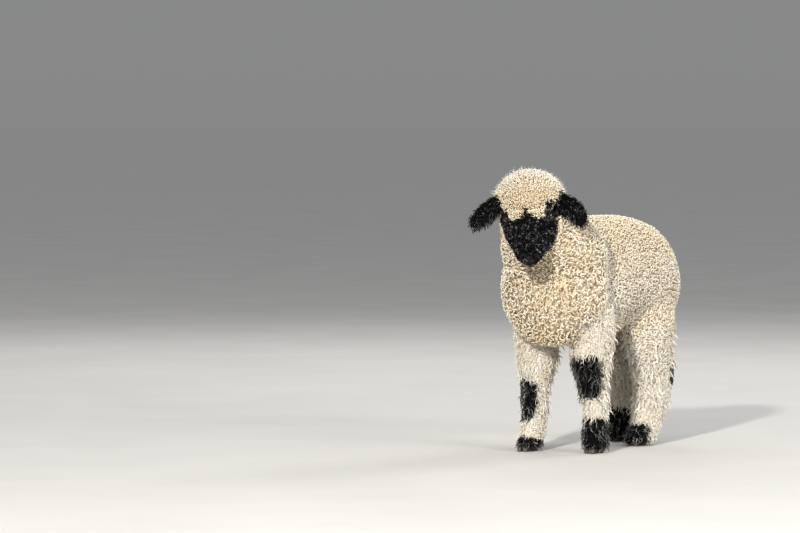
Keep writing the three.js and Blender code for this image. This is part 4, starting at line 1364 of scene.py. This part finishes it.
ground = Ground(skin.data)
middle = ground.middle
across, back, height = middle.T
ahead_m = in_head(middle)[0]
is_ear = ear_share(middle) > 0.5
leg_m = leg_of(middle)
out_m = unit(ground.normals[ground.corners].mean(axis=1))
black_m = blackness(middle + out_m * np.maximum(depth_inside(middle), 0)[:, None])
bare_m = bareness(middle)
head_m = np.maximum(head_form.inside(middle), crown_form.inside(middle) - 4)
trunk_m = np.maximum(torso_form.inside(middle), neck_form.inside(middle))
tail_m = (back > TAIL_FROM) & (tail_form.inside(middle) > 2) & (torso_form.inside(middle) < 6)
is_face = ~is_ear & (head_m > 0) & (ahead_m > -34) & (black_m > 0.5) & (back < 0) & (leg_m < 0)
is_crown = ~is_ear & ~is_face & (head_m > -2) & (head_m > trunk_m - 12) & (height > CROWN_FROM)
is_leg = (leg_m >= 0) & ~tail_m & ~is_face & ~is_crown & ~is_ear
is_tail = tail_m & ~is_leg
is_trunk = ~(is_ear | is_face | is_crown | is_leg | is_tail)

# The wool of the forelegs goes on over the lower shoulders, outside an inner edge.
left_edge, right_edge = 50 + 0.25 * np.abs(height - 225), 56 + 0.16 * (SHOULDER_TO - height)
shoulder = is_trunk & (height < SHOULDER_TO + rng.normal(0, 4, len(middle))) & (height > SHOULDER_FROM)
shoulder &= (back < SHOULDER_BACK) & (np.abs(across) > np.where(across > 0, left_edge, right_edge))
leg_m[shoulder] = np.where(across[shoulder] > 0, 0, 1)
is_leg |= shoulder
is_trunk &= ~shoulder


# Fleece


def coarse(points):
    """1 where the ringlets are big and loose, 0 where the curls are small and tight."""
    front = smoothstep(115, 40, points[:, 1]) * smoothstep(452, 405, points[:, 2])
    low = smoothstep(300, 215, points[:, 2])
    flank = 0.45 * smoothstep(400, 330, points[:, 2]) * smoothstep(260, 120, points[:, 1])
    return np.maximum(np.maximum(front, 0.75 * low), flank)


def fleece_look(top):
    c = coarse(top)
    return curl_look(top, (1.14, 0.2), (2.3 + 1.3 * c, 0.25), (1.35 - 0.13 * c, 0.2), (0, 70), (0, 3))


def fleece_warm(top):
    chest = smoothstep(60, -30, top[:, 1]) * smoothstep(210, 270, top[:, 2])
    chest = chest * (0.35 + 0.65 * bell(top[:, 0] - 24, 48))
    back = smoothstep(330, 415, top[:, 2]) * smoothstep(60, 150, top[:, 1])
    low = smoothstep(260, 215, top[:, 2])
    return WARMTH + 0.5 * np.max([chest, back, 1.1 * low], axis=0)


def down_and_back(at):
    return np.stack([0.25 * np.sign(at[:, 0]), np.full(len(at), 0.45), np.full(len(at), -1.0)], 1)


loose = coarse(middle) + rng.normal(0, 0.08, len(middle)) > 0.5
lay_coat(
    "fleece_loose", torso_form, is_trunk & loose, 5.45,
    ringlets, fleece_look, (2, 0.75, 9), 22, fleece_warm, 1.6, down_and_back, pieces=2,
)
lay_coat(
    "fleece_tight", torso_form, is_trunk & ~loose, 3.87,
    ringlets, fleece_look, (1, 0, 9), 22, fleece_warm, 1.6, down_and_back, pieces=2,
)


# Crown and face


def crown_look(top):
    return curl_look(top, (0.9, 0.25), (1.8, 0.3), (1.3, 0.2), (0, 80), (0, 2))


def wisp_look(top):
    tilts = [(15, 0.8), (35, 0.6), (50, 0.6)]
    return lock_look(top, (0.33, 0.2), (1.2, 0.4), (1.4, 0.3), tilts, (24, 0.3), 0.3)


def face_look(top):
    small = smoothstep(60, 100, in_head(top)[0])
    thick, curl = 1.1 * (1 - 0.35 * small), 2.3 * (1 - 0.4 * small)
    return curl_look(top, (thick, 0.2), (curl, 0.2), (1.2, 0.2), (20, 60), (1, 1.5), tip=0.4)


def from_crown(at):
    return at - head_point(-40, 0, 30)


def crown_warm(top):
    return WARMTH + 0.5 * smoothstep(-55, 15, in_head(top)[0])


def down_face(at):
    side = in_head(at)[1]
    return -head_main[None] * 0.4 + head_side[None] * np.sign(side)[:, None] + rng.normal(0, 0.8, at.shape)


lay_coat(
    "crown", crown_form, is_crown, 2.62 - 0.35 * smoothstep(0, 20, ahead_m),
    ringlets, crown_look, (1, 0, 9), 20, crown_warm, 1.5, from_crown,
)
lay_coat(
    "crown_wisps", crown_form, is_crown & (ahead_m < 0), 4.2,
    locks, wisp_look, (1, 0, 7), 20, crown_warm, 3.0, from_crown, past=2.5,
)
lay_coat(
    "face_curls", head_form, is_face & (bare_m < 0.4), 3.1 - 0.9 * smoothstep(50, 100, ahead_m),
    ringlets, face_look, (1, 0, 11), 9, lambda top: 0.3, 3.1, down_face,
)


# Wool of the ears

EAR_STRANDS = (2, 0.5, 8)  # in a bundle, its radius, and the samples of a strand


def lay_ear(ear):
    """Short curls on both sides of an ear, and a fringe that hangs from its lower edge and tip."""
    each, radius, samples = EAR_STRANDS
    gap, share, k = ear.near(middle)
    under = smoothstep(0.1, 0.6, ear.edge(middle, k)) * smoothstep(0.15, 0.4, share)
    at, out = ground.scatter(is_ear & (gap < ear.width[k] + 10), 2.6 - 0.6 * under)
    n = len(at)
    _, share, k = ear.near(at)
    fringe = smoothstep(0.2, 0.7, ear.edge(at, k)) * smoothstep(0.2, 0.45, share)
    tip = smoothstep(0.78, 0.97, share)
    curl = 1.5 * (1 - 0.5 * np.maximum(fringe, tip))
    look = curl_look(at, (0.55, 0.2), (curl, 0.3), (1.0, 0.4), (20, 60), (1, 2))
    lie = along_skin(out, ear.along[k] * 0.5 - Z, 0.7)
    tone = 0.88 * rng.random(n)
    hang = np.maximum(fringe * about(6.0, 0.4, n), tip * about(ear.TIP[ear.name], 0.4, n))
    hang_way = unit(unit(0.35 * out - Z) * (1 - tip)[:, None] + unit(ear.along[k] + 0.2 * out) * tip[:, None])
    both, look, offset = bundled(at, out, lie, look, each, radius)
    path = ringlets(at[both], out[both], lie[both], about(4.6, 0.25, n)[both], look, samples)
    t = np.linspace(0, 1, samples)[None]
    path += (hang[both][:, None] * t**1.3)[..., None] * hang_way[both][:, None]
    path += offset[:, None] * (1 - 0.5 * t)[..., None]
    numbers = np.stack([tone, WARMTH + rng.normal(0, STRAY, n)], 1)[both].clip(0, 1)
    front = dot(at - ear.spine[k], ear.face[k]) > 0
    across = np.clip(dot(at - ear.spine[k], ear.across[k]) / 20, -1, 1)
    place = np.stack([front * 0.5 + 0.25 + across * 0.22, share * 0.94 + 0.03], 1)
    name = f"{ear.name}_wool"
    mesh = coat_mesh(name, *tubes(path, look), place[both], numbers, np.ones(len(both), dtype=bool))
    add_piece(name, mesh)


for ear in ears:
    lay_ear(ear)


# Wool of the legs and the tail

TUFTS_FROM, TUFTS_TO = 75, 245  # heights


def hind(points):
    """1 on the hind legs, 0 on the forelegs."""
    return smoothstep(120, 160, points[:, 1])


def leg_look(top):
    low = smoothstep(110, 30, top[:, 2])
    high = smoothstep(150, 230, top[:, 2])
    thick, curl = 0.72 * (1 + 0.45 * hind(top)), 1.9 * (1 - 0.25 * low) * (1 + 0.25 * hind(top))
    tilts, longest = [(30, 0.4), (80, 0.08), (62, 0.5)], 20 - 7 * low - 2 * high
    look = lock_look(top, (thick, 0.3), (curl, 0.4), (1.2, 0.3), tilts, (longest, 0.3), 0.25, flat=0.7)
    look["turns"] += 0.3 * high
    look["tilts"] += np.radians(np.outer(low, (0, 3, 20)))
    return look


def leg_curl_look(top):
    more = 1 + 0.2 * hind(top)
    return curl_look(top, (0.98 * more, 0.2), (2.4 * more, 0.3), (1.25, 0.2), (10, 65), (2, 4))


def tuft_look(top):
    tilts = [(35, 0.4), (58, 0.25), (64, 0.4)]
    return lock_look(top, (0.6, 0.25), (1.6, 0.4), (0.9, 0.3), tilts, (27, 0.3), 0.15)


def leg_warm(top):
    return 0.05 + 0.15 * smoothstep(150, 250, top[:, 2])


def down(at):
    return np.stack([np.zeros(len(at)), np.full(len(at), 0.15), np.full(len(at), -1.0)], 1)


for i, (name, form) in enumerate(leg_forms.items()):
    mine = is_leg & (leg_m == i)
    front = turn_from(form, middle, FRONT)
    if name.startswith("hind"):
        curly = smoothstep(80, 170, height)
        tufted = (front < 60) | (front > 120)
    else:
        curly = 0.45 * smoothstep(60, 140, front) + 0.1
        tufted = front > 75
    curls = mine & (rng.random(len(middle)) < curly) & (black_m < 0.5)
    tufted &= mine & (height > TUFTS_FROM) & (height < TUFTS_TO) & (black_m < 0.5)
    lay_coat(
        f"{name}_wool", form, mine & ~curls, 3.4,
        locks, leg_look, (1, 0, 7), 16, leg_warm, 0.9, down,
    )
    lay_coat(
        f"{name}_curls", form, curls, 3.7,
        ringlets, leg_curl_look, (1, 0, 9), 16, leg_warm, 1.0, down,
    )
    lay_coat(
        f"{name}_tufts", form, tufted, 10.5,
        locks, tuft_look, (4, 1.5, 8), 16, leg_warm, 0.6, down, past=5.0,
    )

lay_coat(
    "tail_wool", tail_form, is_tail, 3.6,
    ringlets, leg_curl_look, (1, 0, 9), 14, lambda top: 0.25, 0.8, down,
)


# Eyes

IRIS = 8.3  # its radius
PUPIL = (4.4, 2.1)  # half length and half height
CORNEA = 0.5  # how far it bulges


def make_eye(name, out):
    """A ball with a brown iris and a pupil that lies level, wider than it is high."""
    centre, axes = eye_centre(out), eye_axes(out)
    polar = np.linspace(0.01, np.pi - 0.01, 40)
    radius = EYE_RADIUS + CORNEA * bell(polar, 0.55)[:, None]
    tips = [centre + axes[0] * (EYE_RADIUS + CORNEA), centre - axes[0] * EYE_RADIUS]
    points, faces = tube_mesh(ball_rings(centre, axes, (radius, radius, radius), polar, 64), tips)
    depth, along, over = ((points - centre) @ axis for axis in axes)
    spot = np.hypot(along, over)
    iris = smoothstep(IRIS + 0.3, IRIS - 0.3, spot) * (depth > 0)
    pupil = smoothstep(1.1, 0.95, np.hypot(along / PUPIL[0], over / PUPIL[1]))
    dark = np.maximum(pupil, 0.7 * bell(spot - 8.2, 0.5)) * (depth > 0)
    add_stand_in(name, f"{name}_ball", (points, faces), "eye", "iris", iris, dark)


make_eye("eye_left", 1)
make_eye("eye_right", -1)


# Claws

CLAW_LENGTH, CLAW_WIDTH, CLAW_HEIGHT, CLEFT = 35.0, 14.0, 23.0, 1.6
FEET = {  # place across and ahead, and turn in radians
    "foreleg_left": (66, 44, 0.05),
    "foreleg_right": (-62, 19, -0.08),
    "hindleg_left": (45, 243, 0.08),
    "hindleg_right": (-42, 322, -0.08),
}


def make_claw(leg, label, out):
    """One claw: flat below, rounded above, high at its heel and blunt at the toe."""
    x0, y0, turn = FEET[leg]
    half = CLAW_LENGTH / 2
    rings, sides = 34, 28
    u = 0.5 - 0.5 * np.cos(np.linspace(0, np.pi, rings))
    along = -half - 3.6 + (2 * half + 3.2) * u
    toe, heel = smoothstep(-half, half, along), 1 - smoothstep(-half - 4, 0, along)
    places = [-half - 4, -half, half - 10, half - 7, half - 1, half]
    height = np.interp(along, places, [15, 17.3, 22.6, 20, 7, 3]) * np.sqrt(np.clip(u / 0.05, 0.25, 1))
    box_c, box_s = (np.sign(v) * np.abs(v) ** 0.6 for v in circle(sides))
    end = np.sqrt(np.clip(np.minimum(u / 0.06, (1 - u) / 0.05), 0.1, 1))
    z = height[:, None] * (0.5 + 0.5 * box_s)
    wide = CLAW_WIDTH / 2 * ((1 - 0.38 * toe - 0.2 * heel) * end)[:, None] * (1 - 0.12 * z / CLAW_HEIGHT)
    growth = 0.18 * np.sin(z * 2.1 + along[:, None] * 0.35)
    x = out * (CLEFT / 2 + CLAW_WIDTH / 2) - out * 1.6 * toe[:, None] + (wide + growth * (wide > 2)) * box_c
    y = -along[:, None] * np.ones_like(x)
    px = x * math.cos(turn) - y * math.sin(turn) + x0
    py = x * math.sin(turn) + y * math.cos(turn) + y0
    points, faces = tube_mesh(np.stack([px, py, np.maximum(z, 0)], -1))
    local = np.concatenate([np.repeat(along, sides), along[[0, -1]]])
    pale = smoothstep(4, half, local) * smoothstep(16, 4, points[:, 2])
    name = f"{leg}_claw_{label}"
    add_stand_in(name, f"{name}_horn", (points, faces), "horn", "horn", pale)


for leg in FEET:
    for label, out in (("outer", 1), ("inner", -1)):
        make_claw(leg, label, out if leg.endswith("left") else -out)
